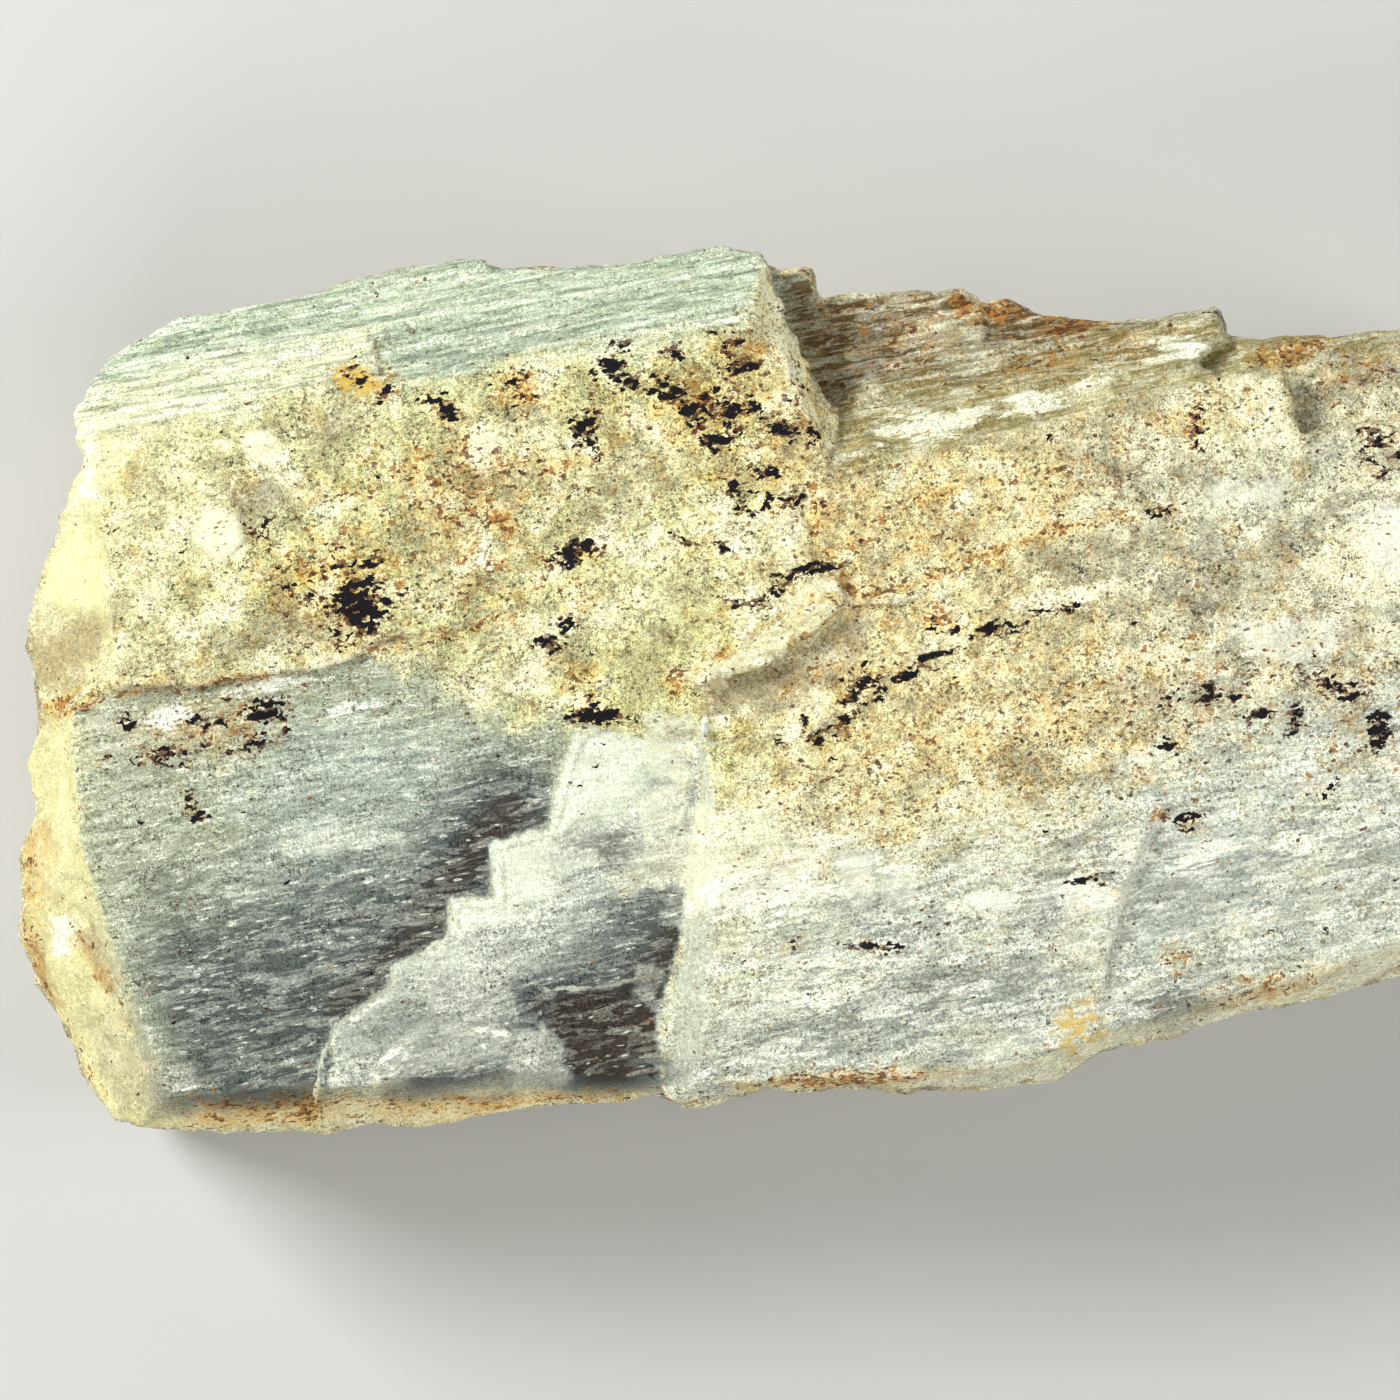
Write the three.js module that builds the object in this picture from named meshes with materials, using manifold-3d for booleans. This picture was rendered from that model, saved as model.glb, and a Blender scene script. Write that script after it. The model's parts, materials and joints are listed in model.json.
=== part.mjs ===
// A broken crystal of spodumene that lies on a flat cleavage face, as a hand specimen does.
// Millimetres, +Z up, the crystal's length near +X, the origin at the bottom centre of its box.
//
// The crystal is one solid. A core is capped by cleavage plates of different heights, which gives the
// ledges, and flake scars, prism faces and fracture faces then trim the plates. Its cleavage faces stay
// flat, and the walls where it broke are rough.

import * as THREE from "three";
import { ImprovedNoise } from "three/addons/math/ImprovedNoise.js";
import { mergeVertices } from "three/addons/utils/BufferGeometryUtils.js";
import Module from "manifold-3d";

const wasm = await Module();
wasm.setup();

// Driving dimensions
const TOP = 40; // height of the shoulder, the broad cleavage face at the upper left
const CORE_TOP = 18; // height of the core under the plates
const ROOT = 14; // how deep the plates reach down into the core
const FAR = 120; // clear of the crystal on every side
const SKY = 10 * FAR; // over the highest point that a dipping face reaches within that
const WALL = 0.2; // steepness from which a face counts as a wall
const LONGEST_EDGE = 6; // of the triangles on a wall
const ROUGHNESS = 0.9; // how far a broken wall stands in or out
const LUMP = 7; // size of the lumps on a broken wall
const SCALLOP_SIDES = 48; // flats around the ball that hollows a scallop
const SCALLOP_STRETCH = 1.5; // how much longer than wide a scallop is
const BLADE_ANGLE = THREE.MathUtils.degToRad(11); // of the blades' direction to +X

// The outline from above, counter-clockwise from the lower left corner
const LOWER_EDGE = [
  [-69.5, -44.2], [-51, -43.6], [-41, -43.4], [-35, -42.7], [-27, -41.4], [-17.8, -40.5], [-14, -41.7],
  [-6.5, -39.6], [10, -39.9], [23, -38.7], [27, -36.3], [41, -32.3], [50, -31], [57, -28.4], [73, -23],
];
const RIGHT_END = [
  [78, -18.5], [79.6, -11], [78.4, -4], [81.2, 4.5], [79, 13], [75.5, 20], [74, 28], [69.5, 33.8],
];
const UPPER_EDGE = [
  [64, 36.3], [57, 36.1], [43, 34.6], [39.5, 35.1], [38.7, 37.7], [30, 37], [21, 37.6], [18, 39.1],
  [15.5, 38.6], [13.2, 40.5], [-0.8, 39.1], [-2.2, 42.6], [-5.2, 42.3], [-7, 43.8], [-10.5, 44.3],
  [-21, 42.4], [-33, 42.4], [-36, 43.2], [-39, 43.1], [-46.5, 42], [-51, 40.2], [-59, 38.2], [-65, 37.7],
];
const LEFT_END = [
  [-72.3, 33.1], [-75.8, 27.1], [-74.4, 23.1], [-76.9, 17.1], [-79.7, 9.1], [-80.6, 4.6], [-79.2, -3.1],
  [-80.9, -6.9], [-79.5, -12.1], [-81.1, -16.7], [-81.3, -24.9], [-80.4, -29.1], [-77.5, -33.1],
  [-75.4, -38.9], [-72.2, -43],
];
const OUTLINE = [...LOWER_EDGE, ...RIGHT_END, ...UPPER_EDGE, ...LEFT_END];
const EVERYWHERE = [[-FAR, -FAR], [FAR, -FAR], [FAR, FAR], [-FAR, FAR]];

// A plane, as its height above any point. It passes through [x, y, z] and rises by the two slopes.
const plane = ([x, y, z], riseAlongX = 0, riseAlongY = 0) => ({
  heightAt: (px, py) => z + riseAlongX * (px - x) + riseAlongY * (py - y),
});
const flat = (z) => plane([0, 0, z]);
const lowered = (face, depth) => ({ heightAt: (x, y) => face.heightAt(x, y) - depth });

// The plane under a face that is deep at one place along X and comes up to the face at another
const wedgedUnder = (face, depth, deepX, endX) => ({
  heightAt: (x, y) => face.heightAt(x, y) - (depth * (endX - x)) / (endX - deepX),
});

// The plane of a face that dips away to the left of the level line from one point to another. A dip
// below zero makes it rise there.
function dippingFace(from, to, height, dip) {
  const along = new THREE.Vector2(to[0] - from[0], to[1] - from[1]).normalize();
  const fall = Math.tan(THREE.MathUtils.degToRad(dip));
  return plane([...from, height], along.y * fall, -along.x * fall);
}

// A closed three.js geometry as a solid
function solidOf(geometry) {
  geometry.deleteAttribute("normal");
  geometry.deleteAttribute("uv");
  const merged = mergeVertices(geometry);
  return new wasm.Manifold(
    new wasm.Mesh({
      numProp: 3,
      vertProperties: merged.attributes.position.array,
      triVerts: new Uint32Array(merged.index.array),
    }),
  );
}

// A plate with the outline given, between two planes
function plate(outline, bottom, top) {
  const shape = new THREE.Shape(outline.map(([x, y]) => new THREE.Vector2(x, y)));
  const geometry = new THREE.ExtrudeGeometry(shape, { depth: 1, bevelEnabled: false });
  const position = geometry.attributes.position;
  for (let i = 0; i < position.count; i++) {
    const face = position.getZ(i) > 0.5 ? top : bottom;
    position.setZ(i, face.heightAt(position.getX(i), position.getY(i)));
  }
  return solidOf(geometry);
}

const above = (face, outline = EVERYWHERE) => plate(outline, face, flat(SKY));
const below = (face, outline = EVERYWHERE) => plate(outline, flat(-SKY), face);
const capOf = (outline, top) => plate(outline, flat(ROOT), top);
const trim = (solid, faces) => faces.reduce((rest, face) => rest.subtract(above(face)), solid);

// A shallow hollow in a face, longer along the blades, where a shell-shaped flake came off
function scallop([x, y], face, radius, depth) {
  const ball = (radius ** 2 + depth ** 2) / (2 * depth);
  const geometry = new THREE.SphereGeometry(ball, SCALLOP_SIDES, SCALLOP_SIDES / 2);
  geometry.scale(SCALLOP_STRETCH, 1, 1);
  geometry.rotateZ(BLADE_ANGLE);
  geometry.translate(x, y, face.heightAt(x, y) + ball - depth);
  return solidOf(geometry);
}

// The shoulder: the broad plate at the upper left, with the striated prism face along its upper side. Its
// lower edge is a ledge over the fresh face on the left, and a soft slope down to it further right.
function shoulder() {
  const outline = [
    [-FAR, -2.9], [-79.2, -3.1], [-73, -0.1], [-53, 1.9], [-43, 5.1], [-40, 3.1], [-26, -3], [-20, -4.4],
    [-12.4, -3.6], [-1.8, 14.6], [-2.5, 19.1], [1.3, 22.6], [2.6, 24.6], [2, 26.6], [-0.8, 29.1], [-2.4, 31.9],
    [-4, 36.1], [-5.5, 39.1], [-6.4, 42.3], [-7, FAR], [-FAR, FAR],
  ];
  const prismFace = dippingFace([-75, 26.1], [-9, 39.1], TOP, 50);
  const leftEnd = dippingFace([-71, 2], [-73.6, 22.1], TOP, 48);
  const rightEnd = dippingFace([-8.8, 41], [-0.4, 23.5], TOP + 0.4, 58);
  const softSlope = dippingFace([-12, 4], [-45, 12], TOP + 0.35, 7);
  const slopeOutline = [[-44.5, 4.4], [-44.5, -FAR], [0, -FAR], [-12, 4.2], [-30, 8.5], [-36, 7]];
  const flakeScar = [
    [-45.9, 35], [-44.9, 33], [-44.2, 30], [-22, 34.4], [-19, 40.5], [-31, 38.3], [-37.3, 36.9], [-42.2, 36.4],
    [-42, 35.8],
  ];
  const body = trim(capOf(outline, plane([-70, 0, TOP], 0.01)), [prismFace, leftEnd, rightEnd]);
  const scars = [above(softSlope, slopeOutline), above(wedgedUnder(prismFace, 1.6, -46, -20), flakeScar)];
  return scars.reduce((rest, scar) => rest.subtract(scar), body);
}

// The fresh cleavage face at the lower left, which sinks towards the terraces and the lower edge
function freshFace() {
  const outline = [
    [-FAR, -FAR], [-8, -FAR], [-8, -2], [-26, -1], [-40, 5], [-43, 7], [-53, 4], [-72, 1.2], [-79.2, -3.3],
    [-FAR, -3.3],
  ];
  const upperEnd = dippingFace([-74.3, -18.9], [-76.2, -2.9], TOP - 2.2, 60);
  const lowerEnd = dippingFace([-65.5, -39.9], [-74.3, -18.9], TOP - 3.6, 56);
  const lowerRim = dippingFace([-18, -37.4], [-68, -40.9], TOP - 5.5, 60);
  const top = plane([-60, -3, TOP - 1.4], 0, 0.1);
  return trim(capOf(outline, top), [upperEnd, lowerEnd, lowerRim]);
}

// Two terraces, one on the other, whose left edges break off in stairs
function terraces() {
  const lowerStair = [
    [-25.5, -3.7], [-26.8, -5.4], [-27.4, -9.9], [-28.2, -13.7], [-33.8, -15.3], [-33.6, -20.7],
    [-37.9, -20.9], [-38.1, -24.9], [-39.9, -25.5], [-40.3, -26.8], [-43.5, -27.4], [-44, -29.8],
    [-46.4, -31.4], [-49.4, -33.5], [-51, -37.5], [-51.7, -FAR],
  ];
  const upperStair = [
    [-24.9, -4.5], [-26, -9.5], [-27.2, -14.5], [-32.6, -16], [-32.4, -21.6], [-36.9, -21.8],
    [-37.2, -25.3], [-40.2, -27.3], [-39.6, -30.3], [-40, -32.7], [-43, -35.4], [-45.6, -37.5],
    [-45.1, -FAR],
  ];
  const lowerRim = dippingFace([-12, -37.2], [-60, -40.8], TOP - 4, 58);
  const steps = [
    { stair: lowerStair, top: plane([-27, -5, TOP - 1.5], -0.03, 0.085) },
    { stair: upperStair, top: plane([-27, -5, TOP - 0.75], -0.03, 0.085) },
  ];
  const [lower, upper] = steps.map(({ stair, top }) => {
    const outline = [...stair, [0, -FAR], [0, -3], [-12, -2.5]];
    return trim(capOf(outline, top), [lowerRim]);
  });
  const { top } = steps[1];
  const cornerScar = [
    [-29.3, -30], [-23.4, -29.8], [-19.1, -28.7], [-10, -26], [-10, -FAR], [-28, -FAR], [-28.2, -38.5],
  ];
  const scarFloor = plane([-29, -29.6, TOP - 2.8], -0.19, 0.085);
  const hollows = [
    scallop([-22.6, -16.6], top, 3.4, 0.6),
    scallop([-16.8, -9.2], top, 2, 0.4),
    scallop([-37, -36.6], top, 3.2, 0.6),
    above(scarFloor, cornerScar),
  ];
  return hollows.reduce((rest, hollow) => rest.subtract(hollow), lower.add(upper));
}

// The main block on the right, with the stepped prism face along its upper side
function mainBlock() {
  const outline = [
    [-1.8, 14.6], [-12.5, 0.1], [-12.5, -2.1], [-13, -4.9], [-12.6, -9.9], [-13.3, -12.4], [-13.8, -15.9],
    [-14.2, -20.9], [-14.7, -23.9], [-15.8, -26.9], [-16.9, -29.4], [-17.4, -32.4], [-17, -36.9],
    [-16.6, -40.9], [-16.6, -FAR], [FAR, -FAR], [FAR, FAR], [-8, FAR], [-8, 27], [1.3, 22.6], [-2.5, 19.1],
  ];
  const top = plane([-12, 0, TOP + 1], -0.03);
  const prismFace = dippingFace([1.5, 22.6], [46, 31.6], TOP + 0.4, 42);
  const lowerSlope = dippingFace([33, -14.4], [-14, -20.9], TOP + 0.3, 12);
  const lowerRim = dippingFace([26, -37], [-16, -40.3], TOP - 4.4, 64);
  const tailRim = dippingFace([73, -21.4], [26, -35.6], TOP - 4.8, 60);
  const corner = dippingFace([-12, -40.9], [-14.5, -24], TOP - 2.6, 38);
  const brokenEnd = dippingFace([72, 25], [70.5, -22], TOP - 3, 60);

  const upperBladeScar = [[-6, 45], [-6, 27.5], [2, 29.8], [15.5, 34.1], [15.5, 45]];
  const bladeScar = [[15.5, 45], [15.5, 34.1], [26, 36.1], [31, 37], [32, 45]];
  const backScar = [
    [38.4, 45], [39.3, 35.1], [36, 32.1], [40, 31.4], [45.5, 31.9], [46, 29.1], [46.9, 25.1], [57, 27.1],
    [FAR, 39], [FAR, 60], [38.4, 60],
  ];
  const tail = [
    [33, -9.9], [32, -13.9], [29.5, -19.9], [27.5, -26.9], [25.5, -35.9], [25.5, -FAR], [FAR, -FAR],
    [FAR, -3],
  ];
  const groove = [
    [-13, -0.9], [-11, 0.6], [-7, 2.3], [-3, 5.1], [2, 8.6], [9, 9.1], [13, 7.1], [7, 2.1], [3, -0.9],
    [-3, -4.9], [-7, -4.7], [-12, -5.4],
  ];
  const scars = [
    above(lowered(prismFace, 0.9), upperBladeScar),
    above(lowered(prismFace, 1.8), bladeScar),
    above(lowered(prismFace, 2.6), backScar),
    above(plane([46, 27, TOP - 3.2], -0.02, -0.12), backScar),
    above(plane([30, -10, TOP - 0.5], -0.02, 0.14), tail),
    above(flat(TOP), groove),
  ];
  const body = trim(capOf(outline, top), [prismFace, lowerSlope, lowerRim, tailRim, corner, brokenEnd]);
  return scars.reduce((rest, scar) => rest.subtract(scar), body);
}

// A thin splinter that stands proud where the shoulder meets the main block
function splinter() {
  const outline = [
    [-14, 0.1], [-12.5, 1.9], [-9, 4.1], [-4, 7.1], [-3, 10.1], [0.8, 11.8], [1.6, 9.1], [0.5, 7.1],
    [-3, 5.1], [-7, 2.3], [-11, 0.6],
  ];
  return capOf(outline, flat(TOP + 2.2));
}

// Faces that lean in towards the floor, so that the crystal rests on a smaller cleavage face
function undersideFaces() {
  const leanIn = (from, to, height, lean) => below(dippingFace(from, to, height, -lean));
  return [
    leanIn([73, -24], [-18, -43], 11, 62),
    leanIn([-18, -42], [-72, -45.5], 9, 58),
    leanIn([-76, -40], [-82.5, -16], 12, 64),
    leanIn([-82.5, -16], [-76, 30], 14, 68),
    leanIn([-74, 31], [10, 44], 12, 60),
    leanIn([-5, 43], [72, 34.5], 9, 57),
    leanIn([73, 32], [82, 2], 12, 66),
    leanIn([82, 2], [76, -24], 10, 62),
  ];
}

function crystalSolid() {
  const caps = [shoulder(), freshFace(), terraces(), mainBlock(), splinter()];
  const core = plate(EVERYWHERE, flat(0), flat(CORE_TOP));
  const stacked = caps.reduce((whole, cap) => whole.add(cap), core);
  const outlined = stacked.intersect(plate(OUTLINE, flat(0), flat(FAR)));
  return undersideFaces().reduce((rest, face) => rest.subtract(face), outlined);
}

const edgesOf = ([a, b, c]) => [[a, b], [b, c], [c, a]];
const edgeKey = ([a, b]) => (a < b ? `${a} ${b}` : `${b} ${a}`);

// How upright a triangle is: 0 when level, 1 when sheer
function steepness(points, corners) {
  const facet = new THREE.Triangle(...corners.map((i) => points[i]));
  return 1 - Math.abs(facet.getNormal(new THREE.Vector3()).z);
}

// The middle points, by edge, of the long edges around the walls
function longEdgeMiddles(points, triangles) {
  const middles = new Map();
  for (const corners of triangles) {
    if (steepness(points, corners) < WALL) continue;
    for (const edge of edgesOf(corners)) {
      const [start, end] = edge.map((i) => points[i]);
      if (middles.has(edgeKey(edge)) || start.distanceTo(end) < LONGEST_EDGE) continue;
      middles.set(edgeKey(edge), points.push(start.clone().lerp(end, 0.5)) - 1);
    }
  }
  return middles;
}

// The parts of one triangle, split at the middles of those of its edges that have one
function splitTriangle(corners, middles) {
  const [a, b, c] = corners;
  const [ab, bc, ca] = edgesOf(corners).map((edge) => middles.get(edgeKey(edge)));
  const count = [ab, bc, ca].filter((middle) => middle !== undefined).length;
  if (count === 0) return [corners];
  if (count === 3) return [[a, ab, ca], [ab, b, bc], [ca, bc, c], [ab, bc, ca]];
  if (ab === undefined || (count === 2 && bc === undefined)) return splitTriangle([b, c, a], middles);
  return count === 2 ? [[ab, b, bc], [a, ab, bc], [a, bc, c]] : [[a, ab, c], [ab, b, c]];
}

// Splits the walls until no edge on them is too long. Both triangles on an edge share its middle.
function refineWalls(points, triangles) {
  let parts = triangles;
  let middles = longEdgeMiddles(points, parts);
  while (middles.size > 0) {
    const found = middles;
    parts = parts.flatMap((corners) => splitTriangle(corners, found));
    middles = longEdgeMiddles(points, parts);
  }
  return parts;
}

// Moves the points of the broken walls in and out, level, by a smooth noise
function roughen(points, triangles) {
  const noise = new ImprovedNoise();
  const steep = points.map(() => 1);
  for (const corners of triangles) {
    const upright = steepness(points, corners);
    for (const i of corners) steep[i] = Math.min(steep[i], upright);
  }
  const at = (p, shift) => noise.noise(p.x / LUMP + shift, p.y / LUMP, p.z / LUMP);
  points.forEach((p, i) => {
    const reach = ROUGHNESS * steep[i];
    const [moveX, moveY] = [at(p, 0) * reach, at(p, FAR) * reach];
    p.x += moveX;
    p.y += moveY;
  });
}

function crystalGeometry() {
  const { vertProperties, triVerts } = crystalSolid().getMesh();
  const points = [];
  for (let i = 0; i < vertProperties.length; i += 3) {
    points.push(new THREE.Vector3().fromArray(vertProperties, i));
  }
  const facets = [];
  for (let i = 0; i < triVerts.length; i += 3) facets.push([...triVerts.slice(i, i + 3)]);
  const triangles = refineWalls(points, facets);
  roughen(points, triangles);
  const geometry = new THREE.BufferGeometry().setFromPoints(points).setIndex(triangles.flat());
  geometry.computeBoundingBox();
  const { min, max } = geometry.boundingBox;
  geometry.translate(-(min.x + max.x) / 2, -(min.y + max.y) / 2, -min.z);
  geometry.computeVertexNormals();
  return geometry;
}

const mineral = new THREE.MeshStandardMaterial({ color: 0xddd8bd, roughness: 0.6, metalness: 0 });
const crystal = new THREE.Mesh(crystalGeometry(), mineral);
crystal.name = "spodumene_crystal";

const specimen = new THREE.Group();
specimen.add(crystal);

export default specimen;
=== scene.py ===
"""Looks of the broken spodumene crystal.

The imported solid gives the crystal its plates, ledges and faces. A copy of it is closed into an even skin,
the fine relief is worked into that skin, and one procedural mineral finish is painted over it. Sizes in the
classes are millimetres in the crystal's own frame, seen from above: x to the right, y to the top, z up.
Blender's own sizes are metres.
"""

import itertools
import json
import logging
import math
from dataclasses import dataclass, field
from enum import Enum

import bpy
import numpy as np
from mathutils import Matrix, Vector
from mathutils.bvhtree import BVHTree

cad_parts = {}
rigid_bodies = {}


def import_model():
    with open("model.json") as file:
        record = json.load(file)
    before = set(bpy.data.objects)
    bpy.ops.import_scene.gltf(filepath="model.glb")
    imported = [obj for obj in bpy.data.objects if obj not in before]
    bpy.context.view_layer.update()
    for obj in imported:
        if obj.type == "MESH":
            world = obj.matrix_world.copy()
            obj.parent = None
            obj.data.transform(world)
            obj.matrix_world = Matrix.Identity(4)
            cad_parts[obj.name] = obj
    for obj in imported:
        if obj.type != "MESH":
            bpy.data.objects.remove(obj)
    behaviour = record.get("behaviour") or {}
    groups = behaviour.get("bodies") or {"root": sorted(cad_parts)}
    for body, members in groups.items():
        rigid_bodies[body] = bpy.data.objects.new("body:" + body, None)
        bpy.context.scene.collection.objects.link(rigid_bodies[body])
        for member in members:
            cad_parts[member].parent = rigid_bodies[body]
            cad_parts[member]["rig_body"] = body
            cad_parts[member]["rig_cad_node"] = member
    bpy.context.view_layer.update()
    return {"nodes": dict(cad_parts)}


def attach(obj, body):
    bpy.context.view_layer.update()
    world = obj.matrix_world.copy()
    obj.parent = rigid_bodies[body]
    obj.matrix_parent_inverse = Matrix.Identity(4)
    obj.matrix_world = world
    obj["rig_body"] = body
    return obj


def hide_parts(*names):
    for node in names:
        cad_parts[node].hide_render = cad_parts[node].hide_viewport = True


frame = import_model()

LOG = logging.getLogger("spodumene")
MM = 0.001
NODE = "spodumene_crystal"
BLADE_TURN = math.radians(11.0)
LATTICE = 256

Plan = tuple[float, float]
Colour = tuple[float, float, float]


class Skin(Enum):
    """The kinds of surface that the crystal has."""

    CRUST = "granular cream crust"
    FRESH = "fresh glassy cleavage"
    TERRACE = "stepped glassy cleavage"
    STAIR = "white edge of the stepped cleavage"
    BLOCK = "flaky bluish cleavage"
    PRISM = "striated prism face"
    BLADE = "stepped ends of the blades"
    LEDGE = "small inner step"
    RIM = "sloped broken edge"
    END = "rough broken end of the shoulder"
    WALL = "steep side"
    BASE = "resting face"


class Layer(Enum):
    """What is stored on the mesh for the finish. The value names the mesh attribute."""

    TINT = "tint"
    GRAIN = "grain"
    STREAK = "streak"
    FLAKE = "flake"
    GLOSS = "gloss"
    GRIT = "fine_grit"
    EDGE = "worn_edge"
    CREVICE = "crevice_darkening"
    BLACK = "black_oxide"
    RUST = "rust"
    GOLD = "gold_clay"
    CHALK = "chalk"
    DEEP = "deep_glass"
    SPECK = "fine_specks"


Skins = dict[Skin, np.ndarray]
Cells = tuple[bpy.types.NodeSocket, bpy.types.NodeSocket, bpy.types.NodeSocket]

SHARES: dict[Layer, dict[Skin, float]] = {
    Layer.GRAIN: {
        Skin.CRUST: 1.0, Skin.WALL: 1.0, Skin.BASE: 1.0, Skin.END: 1.0, Skin.RIM: 0.4, Skin.BLOCK: 0.4,
        Skin.BLADE: 0.4,
    },
    Layer.STREAK: {Skin.PRISM: 1.0, Skin.FRESH: 0.22, Skin.TERRACE: 0.25, Skin.BLOCK: 0.25, Skin.BLADE: 0.45},
    Layer.FLAKE: {Skin.BLOCK: 1.0, Skin.FRESH: 0.35, Skin.TERRACE: 0.35, Skin.PRISM: 0.5, Skin.BLADE: 0.55},
    Layer.GLOSS: {Skin.FRESH: 1.0, Skin.TERRACE: 1.0, Skin.BLOCK: 0.7, Skin.STAIR: 0.4},
    Layer.GRIT: {
        Skin.CRUST: 1.0, Skin.FRESH: 0.9, Skin.TERRACE: 0.9, Skin.STAIR: 0.45, Skin.BLOCK: 0.85,
        Skin.PRISM: 0.75, Skin.BLADE: 0.75, Skin.LEDGE: 0.6, Skin.RIM: 0.6, Skin.END: 1.0, Skin.WALL: 1.0,
        Skin.BASE: 1.0,
    },
}


def ease(values: np.ndarray, low: float, high: float) -> np.ndarray:
    """Gives a smooth step from 0 at low to 1 at high."""
    share = np.clip((values - low) / (high - low), 0.0, 1.0)
    return share * share * (3.0 - 2.0 * share)


def blended(first: np.ndarray | Colour, second: np.ndarray | Colour, share: np.ndarray) -> np.ndarray:
    """Mixes two colours by a share for each point."""
    return (1.0 - share)[:, None] * np.asarray(first) + share[:, None] * np.asarray(second)


def along_blades(points: np.ndarray) -> np.ndarray:
    """Turns points so that they can be read along and across the blades.

    Args:
        points: One row per point of the mesh.

    Returns:
        One row per point: the places along the blades, across them and up.
    """
    cos, sin = math.cos(BLADE_TURN), math.sin(BLADE_TURN)
    x, y, z = points.T
    return np.stack((x * cos + y * sin, y * cos - x * sin, z), axis=1)


def distance_to_path(plan: np.ndarray, path: tuple[Plan, ...]) -> np.ndarray:
    """Measures how far points lie from a line of straight pieces.

    Args:
        plan: One row of x and y per point.
        path: The line's corners.

    Returns:
        One distance per point.
    """
    nearest = np.full(len(plan), np.inf)
    for start, end in itertools.pairwise(np.array(path, float)):
        run = end - start
        share = np.clip(((plan - start) @ run) / (run @ run), 0.0, 1.0)
        nearest = np.minimum(nearest, np.linalg.norm(plan - start - share[:, None] * run, axis=1))
    return nearest


@dataclass(frozen=True)
class LatticeNoise:
    """Smooth noise of about -1 to 1, with one lattice cell per unit."""

    seed: int

    def at(self, points: np.ndarray) -> np.ndarray:
        """Evaluates the noise.

        Args:
            points: One row of three coordinates per point, in lattice cells.

        Returns:
            One value per point.
        """
        rng = np.random.default_rng(self.seed)
        order = rng.permutation(LATTICE)
        slopes = rng.normal(size=(LATTICE, 3))
        slopes /= np.linalg.norm(slopes, axis=1, keepdims=True)
        cells = np.floor(points).astype(int)
        inside = points - cells
        fade = inside**3 * (inside * (inside * 6.0 - 15.0) + 10.0)
        total = np.zeros(len(points))
        for corner in itertools.product((0, 1), repeat=3):
            shift = np.array(corner)
            a, b, c = ((cells + shift) % LATTICE).T
            pick = order[(order[(order[a] + b) % LATTICE] + c) % LATTICE]
            weight = np.where(shift, fade, 1.0 - fade).prod(axis=1)
            total += weight * ((inside - shift) * slopes[pick]).sum(axis=1)
        return 1.6 * total


@dataclass(frozen=True)
class Striations:
    """Fine ridges that run along the blades."""

    run: float
    spacing: float
    height: float
    seed: int

    def height_at(self, points: np.ndarray) -> np.ndarray:
        """Works out the ridges.

        Args:
            points: One row per point of the mesh.

        Returns:
            The height at each point.
        """
        blades = along_blades(points) / (self.run, self.spacing, self.spacing)
        broad = LatticeNoise(self.seed).at(blades)
        fine = LatticeNoise(self.seed + 1).at(2.0 * blades)
        return self.height * (0.65 * broad + 0.35 * fine)


@dataclass(frozen=True)
class Flakes:
    """Thin cleavage sheets that broke off in steps, longer along the blades than across."""

    run: float
    width: float
    step: float
    seed: int
    steps_per_swing: float = 2.6
    edge: float = 0.86

    def height_at(self, points: np.ndarray) -> np.ndarray:
        """Works out the sheets.

        Args:
            points: One row per point of the mesh.

        Returns:
            The height at each point.
        """
        blades = along_blades(points) / (self.run, self.width, self.width)
        broad = LatticeNoise(self.seed).at(blades)
        small = LatticeNoise(self.seed + 1).at(2.7 * blades)
        levels = (broad + 0.45 * small) * self.steps_per_swing
        whole = np.floor(levels)
        return self.step * (whole + ease(levels - whole, self.edge, 1.0))


@dataclass(frozen=True)
class Grain:
    """Lumps and grains of one size, with finer ones on them."""

    size: float
    height: float
    seed: int

    def height_at(self, points: np.ndarray) -> np.ndarray:
        """Works out the grains.

        Args:
            points: One row per point of the mesh.

        Returns:
            The height at each point.
        """
        coarse = LatticeNoise(self.seed).at(points / self.size)
        fine = LatticeNoise(self.seed + 1).at(points * 2.1 / self.size)
        return self.height * (0.65 * coarse + 0.35 * fine)


@dataclass(frozen=True)
class Seam:
    """A ridge along a line on the upper faces, or an open crack where its height is below zero."""

    path: tuple[Plan, ...]
    width: float
    height: float

    def height_at(self, points: np.ndarray) -> np.ndarray:
        """Works out the seam.

        Args:
            points: One row per point of the mesh.

        Returns:
            The height at each point.
        """
        wander = 0.6 * LatticeNoise(71).at(points / 3.0)
        plan = points[:, :2] + np.stack((wander, -wander), axis=1)
        return self.height * (1.0 - ease(distance_to_path(plan, self.path), 0.15 * self.width, self.width))


@dataclass(frozen=True)
class Region:
    """A part of the upper faces inside an outline."""

    outline: tuple[Plan, ...]

    def reach(self, points: np.ndarray) -> np.ndarray:
        """Measures how far inside the outline points lie.

        Args:
            points: One row per point of the mesh.

        Returns:
            The distance to the outline, below zero outside.
        """
        x, y = points[:, 0], points[:, 1]
        closed = (*self.outline, self.outline[0])
        inside = np.zeros(len(points), bool)
        for (start_x, start_y), (end_x, end_y) in itertools.pairwise(closed):
            if start_y != end_y:
                crossing = start_x + (y - start_y) * (end_x - start_x) / (end_y - start_y)
                inside ^= ((start_y > y) != (end_y > y)) & (x < crossing)
        nearest = distance_to_path(points[:, :2], closed)
        return np.where(inside, nearest, -nearest)


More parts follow.
